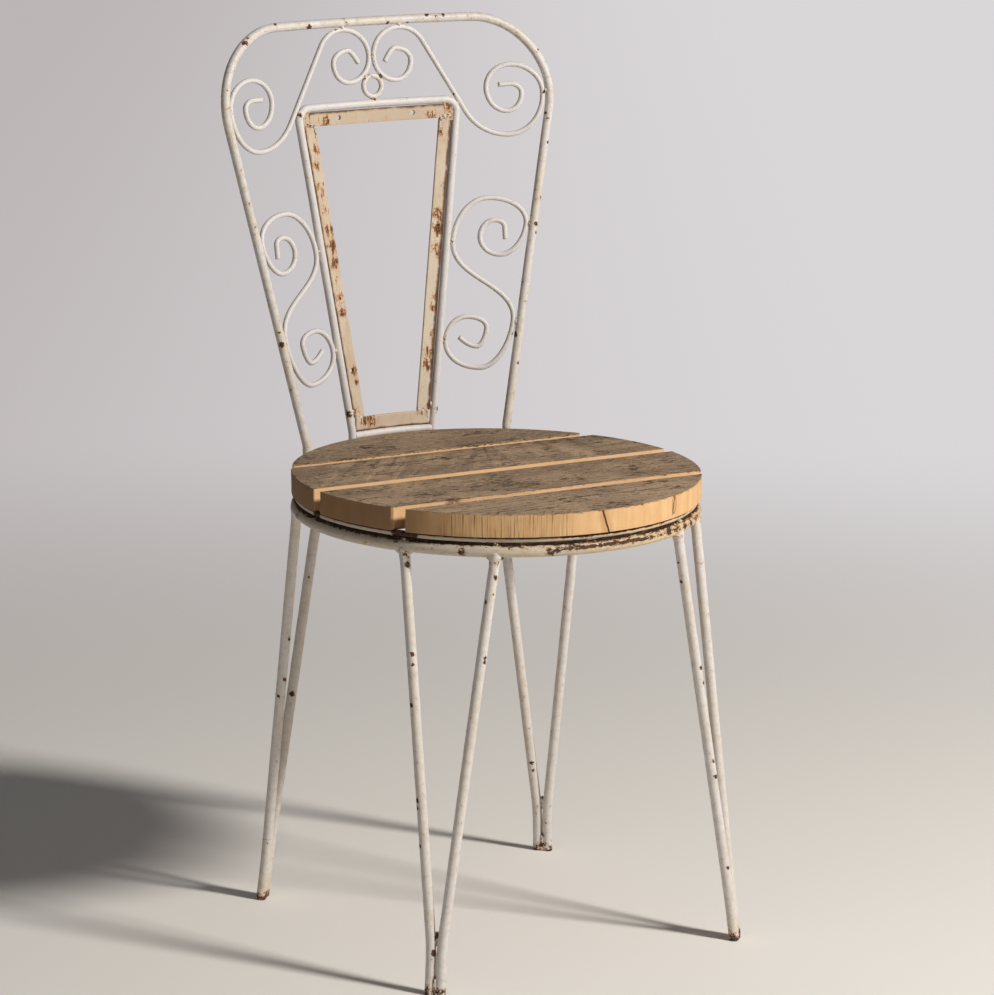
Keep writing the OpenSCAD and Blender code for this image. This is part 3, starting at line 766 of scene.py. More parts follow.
def seat_wood():
    """Boards weathered grey brown on top, pale and honey coloured where they were sawn."""
    colours = bpy.context.scene.chair_colours
    n = Nodes("seat_wood")
    at = n.place()
    sawn = n.attribute("sawn")
    shift = n.attribute("board")
    x, y, z = n.parts(at)
    own = n.joined(x + shift * 3.1, y + shift * 0.7, z)
    streak = n.noise(n.stretched(own, (0.22, 1, 1)), 420, 5, 0.62)
    long_grain = n.noise(n.stretched(own, (0.06, 1, 0.6)), 210, 4, 0.55)
    pits = n.noise(n.stretched(own, (0.45, 0.6, 1)), 330, 4, 0.65)
    flecks = n.noise(n.stretched(own, (0.42, 0.8, 1), shift=(3, 1, 0)), 250, 5, 0.7)
    fine = n.noise(own, 1100, 3, 0.6)
    broad = n.noise(n.stretched(own, (0.6, 1, 1)), 24, 3)
    board_shade = n.noise(n.joined(shift * 7.3, 0.0, 0.0), 5, 0)

    top = n.mix(n.between(broad, 0.35, 0.68), colours.grey_wood, (0.30, 0.193, 0.116))
    top = n.mix(n.between(board_shade, 0.3, 0.7) * 0.3, top, (0.46, 0.325, 0.21))
    top = n.mix(n.between(y - SEAT_Y, 0.09, 0.12) * 0.4, top, (0.225, 0.150, 0.09))
    top = n.mix(n.between(y - SEAT_Y, -0.095, -0.115) * 0.3, top, (0.68, 0.47, 0.29))
    top = n.mix(n.between(long_grain, 0.45, 0.65) * 0.5, top, (0.165, 0.115, 0.078))
    top = n.mix(n.between(pits, 0.52, 0.62) * 0.6, top, (0.49, 0.385, 0.285))
    top = n.mix(n.between(fine, 0.5, 0.68) * 0.4, top, (0.50, 0.40, 0.30))
    top = n.mix(n.between(fine, 0.50, 0.36) * 0.6, top, (0.110, 0.073, 0.045))
    patch = n.between(n.noise(n.stretched(own, (0.45, 1, 1)), 42, 3), 0.42, 0.66)
    dark = n.between(streak * 0.55 + flecks * 0.45, 0.57 - patch * 0.06, 0.61 - patch * 0.06)
    top = n.mix(dark * 0.85, top, (0.075, 0.045, 0.026))

    # Place round the cut edge, as a length along it, and down it
    bearing = n.add("ShaderNodeMath", {"operation": "ARCTAN2"}, [y - SEAT_Y, x])
    round_edge = bearing * (SEAT_R * MM)
    lines = n.noise(n.joined(round_edge, z * 0.02, 0.0), 560, 4, 0.7)
    wide_lines = n.noise(n.joined(round_edge, z * 0.05, 0.3), 90, 2)
    lined = n.between(bearing, -2.45, -2.36) * (1 - n.between(bearing, -1.84, -1.70))
    side = n.mix(n.between(wide_lines, 0.35, 0.65) * 0.6, colours.sawn_wood, (0.80, 0.55, 0.30))
    side = n.mix(n.between(n.noise(at, 45, 3), 0.45, 0.7) * 0.45, side, (0.62, 0.33, 0.14))
    side = n.mix(lined * 0.35, side, (0.46, 0.285, 0.125))
    side = n.mix(lined * n.between(lines, 0.50, 0.60) * 0.55, side, (0.22, 0.115, 0.05))
    side = n.mix(lined * n.between(lines, 0.58, 0.63) * 0.7, side, (0.10, 0.048, 0.022))
    side = n.mix(lined * n.between(lines, 0.46, 0.38) * 0.35, side, (0.80, 0.56, 0.29))
    side = n.mix((1 - lined) * n.between(lines, 0.6, 0.7) * 0.12, side, (0.40, 0.22, 0.10))
    side = n.mix(n.between(fine, 0.45, 0.7) * 0.12, side, (0.38, 0.22, 0.11))
    # The left side of the cut edge, turned away from the light, is painted dark brown: painted
    # shade
    outer = n.attribute("outer")
    painted_shade_left = 1 - n.between(x, -0.186, -0.108)
    side = n.mix(painted_shade_left * outer * 0.85, side, (0.230, 0.122, 0.056))
    side = n.mix((1 - outer) * 0.6, side, (0.80, 0.53, 0.29))
    # Low down, the walls of the gaps are painted dark: painted shadow deep in the gaps
    uneven = z + (wide_lines - 0.5) * 0.004
    painted_gap_shadow = 1 - n.between(uneven, seat_height(-14), seat_height(-12))
    side = n.mix(painted_gap_shadow * (1 - outer) * 0.7, side, (0.20, 0.090, 0.045))
    side = n.mix(n.between(z, seat_height(-3), seat_height(0)) * 0.15, side, (0.50, 0.33, 0.17))

    # A slanting crack and a knot in the cut edge, at bearings about the seat in radians
    crack_bearing, knot_bearing = -1.605, -1.115
    crack_at = crack_bearing * SEAT_R * MM + (seat_height(0) - z) * 0.34
    wander = n.noise(at, 300, 2) * 0.0008 - 0.0004
    beside = abs(round_edge - crack_at + wander)
    crack = (1 - n.between(beside, 0.0004, 0.0011)) * outer
    stained = (1 - n.between(beside, 0.001, 0.009)) * outer
    side = n.mix(stained * 0.5, side, (0.50, 0.24, 0.10))
    knot_at = knot_bearing * SEAT_R * MM
    knot_x = (round_edge - knot_at) / 0.0045
    knot_z = (z - seat_height(-9)) / 0.010
    knot = (knot_x * knot_x + knot_z * knot_z).maths("SQRT") + n.noise(at, 160, 2) * 0.5
    knot_rings = n.between(abs(knot - 1.05), 0.2, 0.02) * outer
    split_at = knot_at + 0.001 - (seat_height(0) - z) * 0.22
    split = 1 - n.between(abs(round_edge - split_at + wander * 2.5), 0.0002, 0.0007)
    crack = crack.highest(split * outer * n.between(z, seat_height(-20), seat_height(-16)))
    side = n.mix(n.between(knot, 1.5, 0.9) * outer * 0.5, side, (0.52, 0.27, 0.11))
    side = n.mix(knot_rings * 0.7, side, (0.22, 0.11, 0.05))
    side = n.mix(crack, side, (0.035, 0.018, 0.010))

    # Knots on the tops, each a place and two radii
    knots = [(-107, -93, 10, 5), (96, 62, 5, 4), (-60, 150, 6, 4), (120, -60, 6, 4)]
    eyes = None
    for kx, ky, rx, ry in knots:
        eye = blotch(n, x, y, (kx, ky), (rx, ry))
        eyes = eye if eyes is None else eyes.highest(eye)
    eyes = eyes * n.between(n.noise(own, 240, 3), 0.3, 0.55)
    top = n.mix(eyes * 0.85, top, (0.085, 0.038, 0.022))
    side = n.mix(eyes * (1 - outer) * 0.85, side, (0.20, 0.06, 0.03))

    ragged = sawn + (n.noise(own, 260, 3) - 0.5) * 1.1
    cut = n.between(ragged, 0.40, 0.52)
    colour = n.mix(cut, top, side)
    rough = 0.82 - cut * 0.12
    relief_top = long_grain * 0.5 + streak * 0.9 + fine * 0.5 - dark * 1.1
    relief_side = lines * lined * 0.6 + fine * 0.15 - crack * 2.5
    relief = relief_top * (1 - cut) + relief_side * cut
    return n.surface(colour, rough, n.bump(relief, 0.0009), specular=0.3)


def batten_wood():
    """Grey softwood with raised grain, running front to back."""
    n = Nodes("batten_wood")
    at = n.place()
    streak = n.noise(n.stretched(at, (1, 0.12, 1)), 380, 5, 0.6)
    rings = n.noise(n.stretched(at, (1, 0.04, 1)), 150, 3)
    fine = n.noise(at, 1200, 2)
    colour = n.mix(n.between(rings, 0.4, 0.65), (0.36, 0.24, 0.14), (0.24, 0.155, 0.09))
    colour = n.mix(n.between(streak, 0.5, 0.65) * 0.6, colour, (0.12, 0.075, 0.045))
    colour = n.mix(n.between(fine, 0.5, 0.7) * 0.3, colour, (0.44, 0.33, 0.22))
    return n.surface(colour, 0.85, n.bump(streak * 0.7 + fine * 0.3, 0.0004), specular=0.3)


def screw_steel():
    """Zinc gone dull, with rust in the corners."""
    colours = bpy.context.scene.chair_colours
    n = Nodes("screw_steel")
    at = n.place()
    fine = n.noise(at, 700, 3, 0.6)
    middling = n.noise(at, 240, 3)
    rusted = n.between(middling * 0.6 + fine * 0.4, 0.46, 0.54)
    colour = n.mix(rusted, (0.42, 0.41, 0.39), colours.rust)
    colour = n.mix(rusted * n.between(fine, 0.5, 0.4), colour, colours.dark_rust)
    return n.surface(
        colour, 0.42 + rusted * 0.4, n.bump(fine * rusted, 0.0002), metal=(1 - rusted) * 0.9)


def studio_floor():
    """A pale floor that fades into a glowing backdrop far from the chair, for the view only; the
    backdrop is painted darker to the left as shade.
    """
    colours = bpy.context.scene.chair_colours
    n = Nodes("studio_floor")
    at = n.place()
    colour = n.mix(n.noise(at, 3, 3) * 0.3, colours.floor, (0.96, 0.91, 0.85))
    x, y, _ = n.parts(at)
    far = n.between((x * x + y * y).maths("SQRT"), 0.7, 2.4)
    seen = n.add("ShaderNodeLightPath", out="Is Camera Ray")
    near = n.add("ShaderNodeBsdfPrincipled", None,
                 {"Base Color": colour, "Roughness": 0.9, "Specular IOR Level": 0.1})
    # The backdrop is painted darker towards the left: painted shade
    across = n.between(x * 0.85 - y * 0.53, -1.3, 0.7)
    air = n.mix(across, (0.50, 0.465, 0.465), (0.70, 0.675, 0.69))
    glow = n.add("ShaderNodeEmission", None, {"Color": air, "Strength": 1.0})
    both = n.add("ShaderNodeMixShader", None, [far * seen, near, glow])
    n.add("ShaderNodeOutputMaterial", None, [both])
    return n.material


def shadow_and_dirt_fill():
    """Black dirt and old rust, as lies between the rings, dark enough to paint the shadow there
    and under the boards' edge.
    """
    n = Nodes("shadow_and_dirt_fill")
    at = n.place()
    fine = n.noise(at, 500, 3, 0.6)
    middling = n.noise(at, 120, 3)
    colour = n.mix(n.between(fine, 0.45, 0.65), (0.018, 0.012, 0.009), (0.060, 0.030, 0.016))
    colour = n.mix(n.between(middling, 0.58, 0.68) * 0.6, colour, (0.20, 0.085, 0.03))
    return n.surface(colour, 0.9, n.bump(fine, 0.0004), specular=0.2)


MAKERS = {
    "cream_paint": cream_paint,
    "ring_paint": ring_paint,
    "old_beige_paint": old_beige_paint,
    "shadow_and_dirt_fill": shadow_and_dirt_fill,
    "seat_wood": seat_wood,
    "batten_wood": batten_wood,
    "screw_steel": screw_steel,
    "studio_floor": studio_floor,
}
# Materials made so far, by the name of their finish
FINISHES = {}


def finish_of(name):
    """The material of a name, made when a piece first asks for it."""
    if name not in FINISHES:
        FINISHES[name] = MAKERS[name]()
    return FINISHES[name]


# ---- making pieces ----


def corners(mesh):
    """The places of a mesh's corners as rows."""
    co = np.empty(len(mesh.vertices) * 3)
    mesh.vertices.foreach_get("co", co)
    return co.reshape(-1, 3)


def lay_attribute(mesh, name, values):
    """Lays a value on each corner, or the same one on them all."""
    layer = mesh.attributes.new(name, "FLOAT", "POINT")
    layer.data.foreach_set("value", np.full(len(mesh.vertices), values, dtype=np.float32))


def wear_from(co, spots, base=0.0):
    """Wear at each corner: full to 0.6 of a lost patch's radius, none beyond 1.8 of it."""
    wear = np.full(len(co), float(base))
    for centre, radius, strength in spots:
        far = np.linalg.norm(co - np.array(centre), axis=1) / (radius * MM)
        wear = np.maximum(wear, strength * np.clip((1.8 - far) / 1.2, 0, 1))
    return wear


def near_bearing(bearing, centre, peak, width, most=1):
    """How near each bearing is to a centre: peak, less 1 for every width, from 0 to most."""
    return np.clip(peak - np.abs(bearing - centre) / width, 0, most)


def new_piece(name, mesh, finish, stands_for=(), crease=None):
    """Puts a finished mesh on the chair; edges that turn by more than crease stay sharp."""
    mesh.shade_smooth()
    if crease is not None:
        mesh.set_sharp_from_angle(angle=math.radians(crease))
    piece = bpy.data.objects.new(name, mesh)
    bpy.context.scene.collection.objects.link(piece)
    mesh.materials.clear()
    mesh.materials.append(finish_of(finish))
    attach(piece, "root")
    if stands_for:
        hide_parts(*stands_for)


def on_ring(r, bearing, z):
    """A place at a bearing about the seat, in radians."""
    return (r * math.cos(bearing), r * math.sin(bearing), z)


def rod_mesh(name, line, radius, step=2.2, swell=None, closed=False, rounds=6):
    """A round rod swept along a line in millimetres.

    swell gives its girth at a share of its length, and rounds how round it is.
    """
    points = even_steps(line, step, closed)
    curve = bpy.data.curves.new(name, "CURVE")
    curve.dimensions = "3D"
    curve.bevel_depth = radius * MM
    curve.bevel_resolution = rounds
    curve.use_fill_caps = not closed
    spline = curve.splines.new("POLY")
    spline.points.add(len(points) - 1)
    for i, p in enumerate(points):
        spline.points[i].co = (*to_frame(p), 1)
        spline.points[i].radius = swell(i / (len(points) - 1)) if swell else 1
    spline.use_cyclic_u = closed
    drawn = bpy.data.objects.new(name, curve)
    bpy.context.scene.collection.objects.link(drawn)
    seen = drawn.evaluated_get(bpy.context.evaluated_depsgraph_get())
    mesh = bpy.data.meshes.new_from_object(seen)
    mesh.name = name
    bpy.data.objects.remove(drawn)
    bpy.data.curves.remove(curve)
    return mesh


def reshape(mesh, near=0):
    """A mesh opened for work, with corners that lie nearer than near merged."""
    bm = bmesh.new()
    bm.from_mesh(mesh)
    if near:
        bmesh.ops.remove_doubles(bm, verts=bm.verts, dist=near)
    return bm


def settle(bm, mesh):
    """Closes the work: doubles merged, faces turned outwards, and back into the mesh."""
    bmesh.ops.remove_doubles(bm, verts=bm.verts, dist=MERGE)
    bmesh.ops.recalc_face_normals(bm, faces=bm.faces)
    bm.to_mesh(mesh)
    bm.free()
    mesh.update()
    return mesh


def dent(bm, amount, scale, seed):
    """Pushes every corner a little way along its normal, as brushed paint and knocks do."""
    bm.normal_update()
    shift = Vector((seed * 1.7, seed * 0.9, seed * 2.3))
    for v in bm.verts:
        v.co += v.normal * amount * noise.noise(v.co * scale + shift)


def everything(bm):
    return bm.verts[:] + bm.edges[:] + bm.faces[:]


def lump(bm, place, radii, seed, turn=None, rough=0.22):
    """A weld bead: a rounded, uneven lump."""
    made = bmesh.ops.create_icosphere(bm, subdivisions=3, radius=1)["verts"]
    shift = Vector((seed * 3.1, seed * 1.3, seed * 0.7))
    for v in made:
        broad = noise.noise(v.co * 1.6 + shift)
        v.co *= 1 + rough * broad + rough * 0.5 * noise.noise(v.co * 4 + shift)
    size = Matrix.Diagonal((radii[0] * MM, radii[1] * MM, radii[2] * MM, 1))
    spin = turn.to_matrix().to_4x4() if turn is not None else Matrix()
    bmesh.ops.transform(bm, matrix=Matrix.Translation(to_frame(place)) @ spin @ size, verts=made)


def painted_rod(name, line, radius, spots, base, dirt, node, **ways):
    """A rod of the back, in place of its node, with its lost paint laid on."""
    mesh = rod_mesh(name, line, radius - SKIN, **ways)
    bm = reshape(mesh, MERGE)
    dent(bm, 0.00008, 120, len(name))
    mesh = settle(bm, mesh)
    lay_attribute(mesh, "wear", wear_from(corners(mesh), spots, base))
    lay_attribute(mesh, "dirt", dirt)
    new_piece(name, mesh, "cream_paint", [node])


def bead_piece(name, bm, wear, dirt, stands_for=()):
    """Weld beads made one piece, evenly worn and dirty."""
    mesh = settle(bm, bpy.data.meshes.new(name))
    lay_attribute(mesh, "wear", wear)
    lay_attribute(mesh, "dirt", dirt)
    new_piece(name, mesh, "cream_paint", stands_for)


# ---- the pieces, one operator for each group ----


class CHAIR_OT_seat_rings(bpy.types.Operator):
    """Makes the two rings under the seat and the beads that join them."""

    bl_idname = "chair.seat_rings"
    bl_label = "Seat rings"

    def execute(self, context):
        turns = [2 * math.pi * i / 360 for i in range(360)]
        for name, node, z, rod in (
            ("main_ring", "seat_ring", RING_Z, RING_ROD - SKIN),
            ("thin_ring", "rest_ring", REST_Z, REST_ROD - SKIN),
        ):
            line = [on_ring(RING_R, a, z) for a in turns]
            mesh = rod_mesh(name, line, rod, step=2.4, closed=True, rounds=10)
            mesh = settle(reshape(mesh), mesh)
            co = corners(mesh)
            wear = wear_from(co, ring_spots(), 0.12)
            bearing = np.degrees(np.arctan2(co[:, 1] - SEAT_Y, co[:, 0]))
            # From -1 under the rod to 1 on top; a band high on its outside has rusted through
            height = (co[:, 2] / MM - z) / rod
            front = near_bearing(bearing, WORN_FRONT, 2.6, 8)
            beyond = near_bearing(bearing, RUST_BEYOND, 1.5, 22)
            band = np.exp(-(((height - 0.35) / 0.42) ** 2))
            wear = np.maximum(wear, band * np.maximum(1.05 * front, 0.64 * beyond))
            wear = np.maximum(wear, np.clip((height - 0.6) / 0.3, 0, 1) * 0.75)
            if name == "thin_ring":
                # Under the ends of the open gaps
                for gap, _ in GAPS:
                    at_gap = math.degrees(math.asin(gap / RING_R))
                    for end in (at_gap, 180 - at_gap if gap >= 0 else -180 - at_gap):
                        wear = np.maximum(wear, near_bearing(bearing, end, 3.2, 1.6, 1.1))
            lay_attribute(mesh, "wear", wear)
            lay_attribute(mesh, "dirt", 0.35 + 0.6 * near_bearing(bearing, DIRT_MIDDLE, 1, 60))
            new_piece(name, mesh, "ring_paint", [node])
        # Rust and dirt packed between the two rings, open in a few places, and a dark line under
        # the boards' edge; both also paint the shadow there
        gap_z = (RING_Z + RING_ROD + REST_Z - REST_ROD) / 2

        def packed(share):
            """How full the gap is at a share of the way round."""
            here = noise.noise(Vector(on_ring(9, share * math.tau, 0)))
            return 1.0 if here > -0.28 else 0.35

        for name, reach, z, thick, swell in (
            ("rust_and_shadow_fill", RING_R + 0.5, gap_z, 2.2, packed),
            # A dark line under the boards' edge: painted shadow where they overhang the thin ring,
            # with some dirt
            ("shadow_and_dirt_fill", RING_R + 2.3, SEAT_LOW - 0.7, 1.3, None),
        ):
            line = [on_ring(reach, a, z) for a in turns]
            mesh = rod_mesh(name, line, thick, 2.4, swell, closed=True, rounds=3)
            bm = reshape(mesh)
            dent(bm, 0.0004, 260, 3)
            mesh = settle(bm, mesh)
            new_piece(name, mesh, "shadow_and_dirt_fill")
        bm = bmesh.new()
        for i, corner in enumerate(range(45, 360, 90)):
            for side in (-1, 1):
                place = on_ring(RING_R, math.radians(corner + side * LEG_SPREAD), gap_z)
                lump(bm, place, (3.4, 3.4, 2.1), 5 * i + side)
        bead_piece("ring_beads", bm, 0.55, 0.6, ["ring_spacers"])
        return {"FINISHED"}


class CHAIR_OT_legs(bpy.types.Operator):
    """Makes the eight bent leg rods, flat at the floor and flared into the ring."""

    bl_idname = "chair.legs"
    bl_label = "Legs"

    def execute(self, context):
        for name in LEGS:
            for which, letter in ((-1, "a"), (1, "b")):
                self.make_rod(context, name, which, letter)
        return {"FINISHED"}

    def make_rod(self, context, leg, which, letter):
        flare = context.scene.chair_sizes.fillet / MM
        line = leg_line(leg, which)
        length = sum((Vector(b) - Vector(a)).length for a, b in zip(line, line[1:]))

        def swell(share):
            left = (1 - share) * length - INTO_RING
            return 1 + 0.32 * max(0, 1 - max(0, left) / flare) ** 2

        name = f"leg_rod_{leg}_{letter}"
        mesh = rod_mesh(name, line, LEG_ROD, 1.8, swell, rounds=7)
        bm = reshape(mesh, MERGE)
        cut = bmesh.ops.bisect_plane(
            bm, geom=everything(bm), dist=ON_PLANE,
            plane_co=(0, 0, 0), plane_no=(0, 0, -1), clear_outer=True)
        rim = [e for e in cut["geom_cut"] if isinstance(e, bmesh.types.BMEdge)]
        bmesh.ops.edgeloop_fill(bm, edges=rim)
        bmesh.ops.bevel(
            bm, geom=rim, offset=0.0008, segments=2, profile=0.5, material=-1, affect="EDGES")
        # Uneven above the foot, which stays flat on the floor
        for v in bm.verts:
            if v.co.z > 0.004:
                v.co += v.normal * 0.00012 * noise.noise(v.co * 90)
        mesh = settle(bm, mesh)
        co = corners(mesh)
        high = co[:, 2]
        # Rusted at the foot, and a little just under the ring
        at_foot = np.clip(1.0 - high / 0.016, 0, 0.72)
        at_ring = 0.36 * np.clip((high - 0.388) / 0.02, 0, 1)
        wear = wear_from(co, leg_spots(), 0.08)
        lay_attribute(mesh, "wear", np.maximum(np.maximum(wear, at_foot), at_ring))
        lay_attribute(mesh, "dirt", np.clip(0.8 - high / 0.05, 0.3, 0.7))
        new_piece(name, mesh, "cream_paint", [f"leg_{leg}_{letter}"])


class CHAIR_OT_leg_webs(bpy.types.Operator):
    """Makes the rusty weld in each leg's fork and the bead down its foot."""

    bl_idname = "chair.leg_webs"
    bl_label = "Leg webs"

    def execute(self, context):
        for i, name in enumerate(LEGS):
            a = leg_bearing(name)
            low = leg_middle(name, KNEE_Z)
            rise = (middle_top(name) - low).normalized()
            upright = Vector((0, 0, 1)).rotation_difference(rise)
            turn = upright @ Matrix.Rotation(a, 3, "Z").to_quaternion()
            bm = bmesh.new()
            lump(bm, low + rise * 8, (2.8, 2.4, 7.5), 3 + i, turn, 0.15)
            for step, z in enumerate((3, 8, 13)):
                for face in (-1, 1):
                    place = leg_middle(name, z) + Vector(on_ring(1, a, 0)) * face * 3.3
                    seed = i * 20 + step * 2 + face
                    lump(bm, place, (1.5, 3.0 - step * 0.6, 4.4), seed, turn, 0.2)
            for v in bm.verts:
                v.co.z = max(v.co.z, 0.0004)
            name = "foot_weld_" + name
            mesh = settle(bm, bpy.data.meshes.new(name))
            high = corners(mesh)[:, 2]
            lay_attribute(mesh, "wear", np.clip(1.0 - high / 0.018, 0.45, 0.7))
            lay_attribute(mesh, "dirt", np.clip(1.3 - high / 0.03, 0.6, 0.9))
            new_piece(name, mesh, "cream_paint", [name.replace("foot_weld", "web")])
        return {"FINISHED"}


class CHAIR_OT_hoops(bpy.types.Operator):
    """Makes the outer hoop, the panel hoop and the rod along the panel's bottom."""

    bl_idname = "chair.hoops"
    bl_label = "Hoops"

    def execute(self, context):
        spots = rod_spots()
        painted_rod("outer_hoop", both_sides(HOOP_LINE, 0), HOOP_ROD, spots, 0.14, 0.38,
                    "back_hoop", step=1.8)
        painted_rod("inner_hoop", both_sides(PANEL_LINE, PANEL_STEP), PANEL_ROD, spots, 0.08, 0.04,
                    "panel_hoop", step=1.8)
        r = SHEET_R - HOOP_ROD + PANEL_ROD
        half = math.asin((PANEL_BASE - 2) / r)
        turns = [math.pi / 2 - half + 2 * half * i / 90 for i in range(91)]
        line = [on_ring(r, t, BOTTOM_ROD_Z) for t in turns]
        painted_rod("bottom_rod", line, PANEL_ROD, spots, 0.15, 0.1, "panel_bottom_rod", step=2)
        return {"FINISHED"}


class CHAIR_OT_scrolls(bpy.types.Operator):
    """Makes the four scrolls and the small ring between the upper curls."""

    bl_idname = "chair.scrolls"
    bl_label = "Scrolls"

    def execute(self, context):
        spots = rod_spots()
        for side, word in ((-1, "left"), (1, "right")):
            for kind, line in (("upper", upper_scroll_line()), ("side", side_scroll_line())):
                laid = [on_back(p, side) for p in line]
                painted_rod(f"{kind}_rod_{word}", laid, SCROLL_ROD, spots, 0.05, 0.0,
                            f"{kind}_scroll_{word}", step=1.5, rounds=5)
        r = CENTRE_OUT - SCROLL_ROD
        centre_y = back_y(0, CENTRE_Z)
        line = []
        for i in range(60):
            t = 2 * math.pi * i / 60
            up = r * math.sin(t)
            y, z = centre_y + up * math.sin(LEAN), CENTRE_Z + up * math.cos(LEAN)
            line.append((r * math.cos(t), y, z))
        painted_rod("small_ring", line, SCROLL_ROD, spots, 0.15, 0.15, "centre_ring",
                    step=1.3, closed=True, rounds=5)
        return {"FINISHED"}


def sliced(bm, axis, step):
    """Cuts a long piece across at even steps, so that it can bend and carry wear."""
    values = [v.co[axis] for v in bm.verts]
    low, high = min(values), max(values)
    normal = Vector((0, 0, 0))
    normal[axis] = 1
    count = max(1, round((high - low) / step))
    for i in range(1, count):
        place = normal * (low + (high - low) * i / count)
        bmesh.ops.bisect_plane(
            bm, geom=everything(bm), dist=ON_PLANE, plane_co=place, plane_no=normal)


def eased_copy(node, name, edge, shortest=0):
    """A copy of a flat frame part, opened for work, its long sharp edges eased."""
    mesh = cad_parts[node].data.copy()
    mesh.name = name
    bm = reshape(mesh, MERGE_FRAME)
    bmesh.ops.dissolve_limit(bm, angle_limit=math.radians(1), verts=bm.verts, edges=bm.edges)
    sharp = [
        e for e in bm.edges
        if len(e.link_faces) == 2 and e.calc_face_angle(0) > math.radians(50)
        and e.calc_length() > shortest]
    bmesh.ops.bevel(bm, geom=sharp, offset=edge, segments=2, profile=0.5, material=-1,
                    affect="EDGES", clamp_overlap=True)
    return bm, mesh


def plain_faces(bm):
    """Splits faces of many corners, which may not be flat."""
    bmesh.ops.triangulate(bm, faces=[f for f in bm.faces if len(f.verts) > 4])


class CHAIR_OT_panel_strips(bpy.types.Operator):
    """Makes the four flat strips left of the lost panel."""

    bl_idname = "chair.panel_strips"
    bl_label = "Panel strips"

    def execute(self, context):
        edge = context.scene.chair_sizes.strip_edge
        spots = back_spots(STRIP_RUST)
        for word in ("top", "bottom", "left", "right"):
            node = "panel_strip_" + word
            name = "flat_strip_" + word
            upright = word in ("left", "right")
            bm, mesh = eased_copy(node, name, edge)
            sliced(bm, 2 if upright else 0, 0.004)
            sliced(bm, 0 if upright else 2, 0.002)
            plain_faces(bm)
            for v in bm.verts:
                v.co.y += 0.0004 * noise.noise(v.co * 28)
            mesh = settle(bm, mesh)
            co = corners(mesh) / MM
            if upright:
                spread = np.maximum(0, co[:, 2] - BEND_Z) * math.tan(PANEL_FLARE)
                from_rim = PANEL_BASE + spread - PANEL_ROD - np.abs(co[:, 0])
            else:
                rim = PANEL_Z - PANEL_ROD if word == "top" else BOTTOM_ROD_Z + PANEL_ROD
                from_rim = np.abs(rim - co[:, 2])
            # How far the rust and the painted shadow of the seam reach on to the strip
            depth = {"right": 2.1, "left": 1.5, "top": 1.5, "bottom": 1.2}[word]
            lay_attribute(mesh, "seam_rust_and_shadow", np.clip(depth - from_rim / 2.6, 0, 1))
            lay_attribute(mesh, "wear", wear_from(co * MM, spots, 0.1))
            new_piece(name, mesh, "old_beige_paint", [node], crease=35)
        return {"FINISHED"}


def weld_places():
    """Where rods of the back touch: the flat places met on both sides, then those between."""
    both = []
    slant = (math.sin(SLANT), math.cos(SLANT))
    reach = PANEL_CORNER_R + PANEL_ROD
    both.append((PANEL_CORNER[0] + slant[0] * reach, PANEL_CORNER[1] + slant[1] * reach))
    both.append((CREST_X, BAR_Z - HOOP_ROD))
    both.append((SHOULDER_EDGE - HOOP_ROD, SHOULDER[1]))
    for u, rise in ((0, 188), (1, 203), (1, 106), (0, 88.5)):
        x, z = lane_point(u, rise)
        both.append((x + (2.4 if u else -2.4), z))
    toward = (CURL[0], CURL[1] - CENTRE_Z)
    far = math.hypot(*toward)
    both.append((toward[0] / far * CENTRE_OUT, CENTRE_Z + toward[1] / far * CENTRE_OUT))
    return both, [(0, CURL[1]), (0, PANEL_Z + PANEL_ROD)]


def corner_plate(name, side):
    """The end of the top strip, shaped to fit inside the hoop's corner."""
    low = PANEL_Z - PANEL_ROD - STRIP_W - 3.2
    high = PANEL_Z - PANEL_ROD + 1
    bm = bmesh.new()
    bmesh.ops.create_grid(bm, x_segments=8, y_segments=8, size=0.5)
    for v in bm.verts:
        u, w = v.co.x + 0.5, v.co.y + 0.5
        pull = max(0, u + w - 1.55) * 0.35
        u, w = u - pull, w - pull
        z = low + (high - low) * w
        inner, outer = PANEL_CORNER[0] - 1, panel_x(z) - PANEL_ROD + 1
        flat = (inner + (outer - inner) * u, z)
        v.co = to_frame(on_back(flat, side, PANEL_STEP + 1.5))
    bmesh.ops.recalc_face_normals(bm, faces=bm.faces)
    bmesh.ops.solidify(bm, geom=bm.faces[:], thickness=0.0027)
    middle_y = sum(v.co.y for v in bm.verts) / len(bm.verts)
    plate_middle = on_back((PANEL_CORNER[0] + 5, (low + high) / 2), side, PANEL_STEP)
    bmesh.ops.translate(bm, verts=bm.verts, vec=(0, to_frame(plate_middle).y - middle_y, 0))
    mesh = settle(bm, bpy.data.meshes.new(name))
    lay_attribute(mesh, "wear", 0.72)
    new_piece(name, mesh, "old_beige_paint", crease=40)


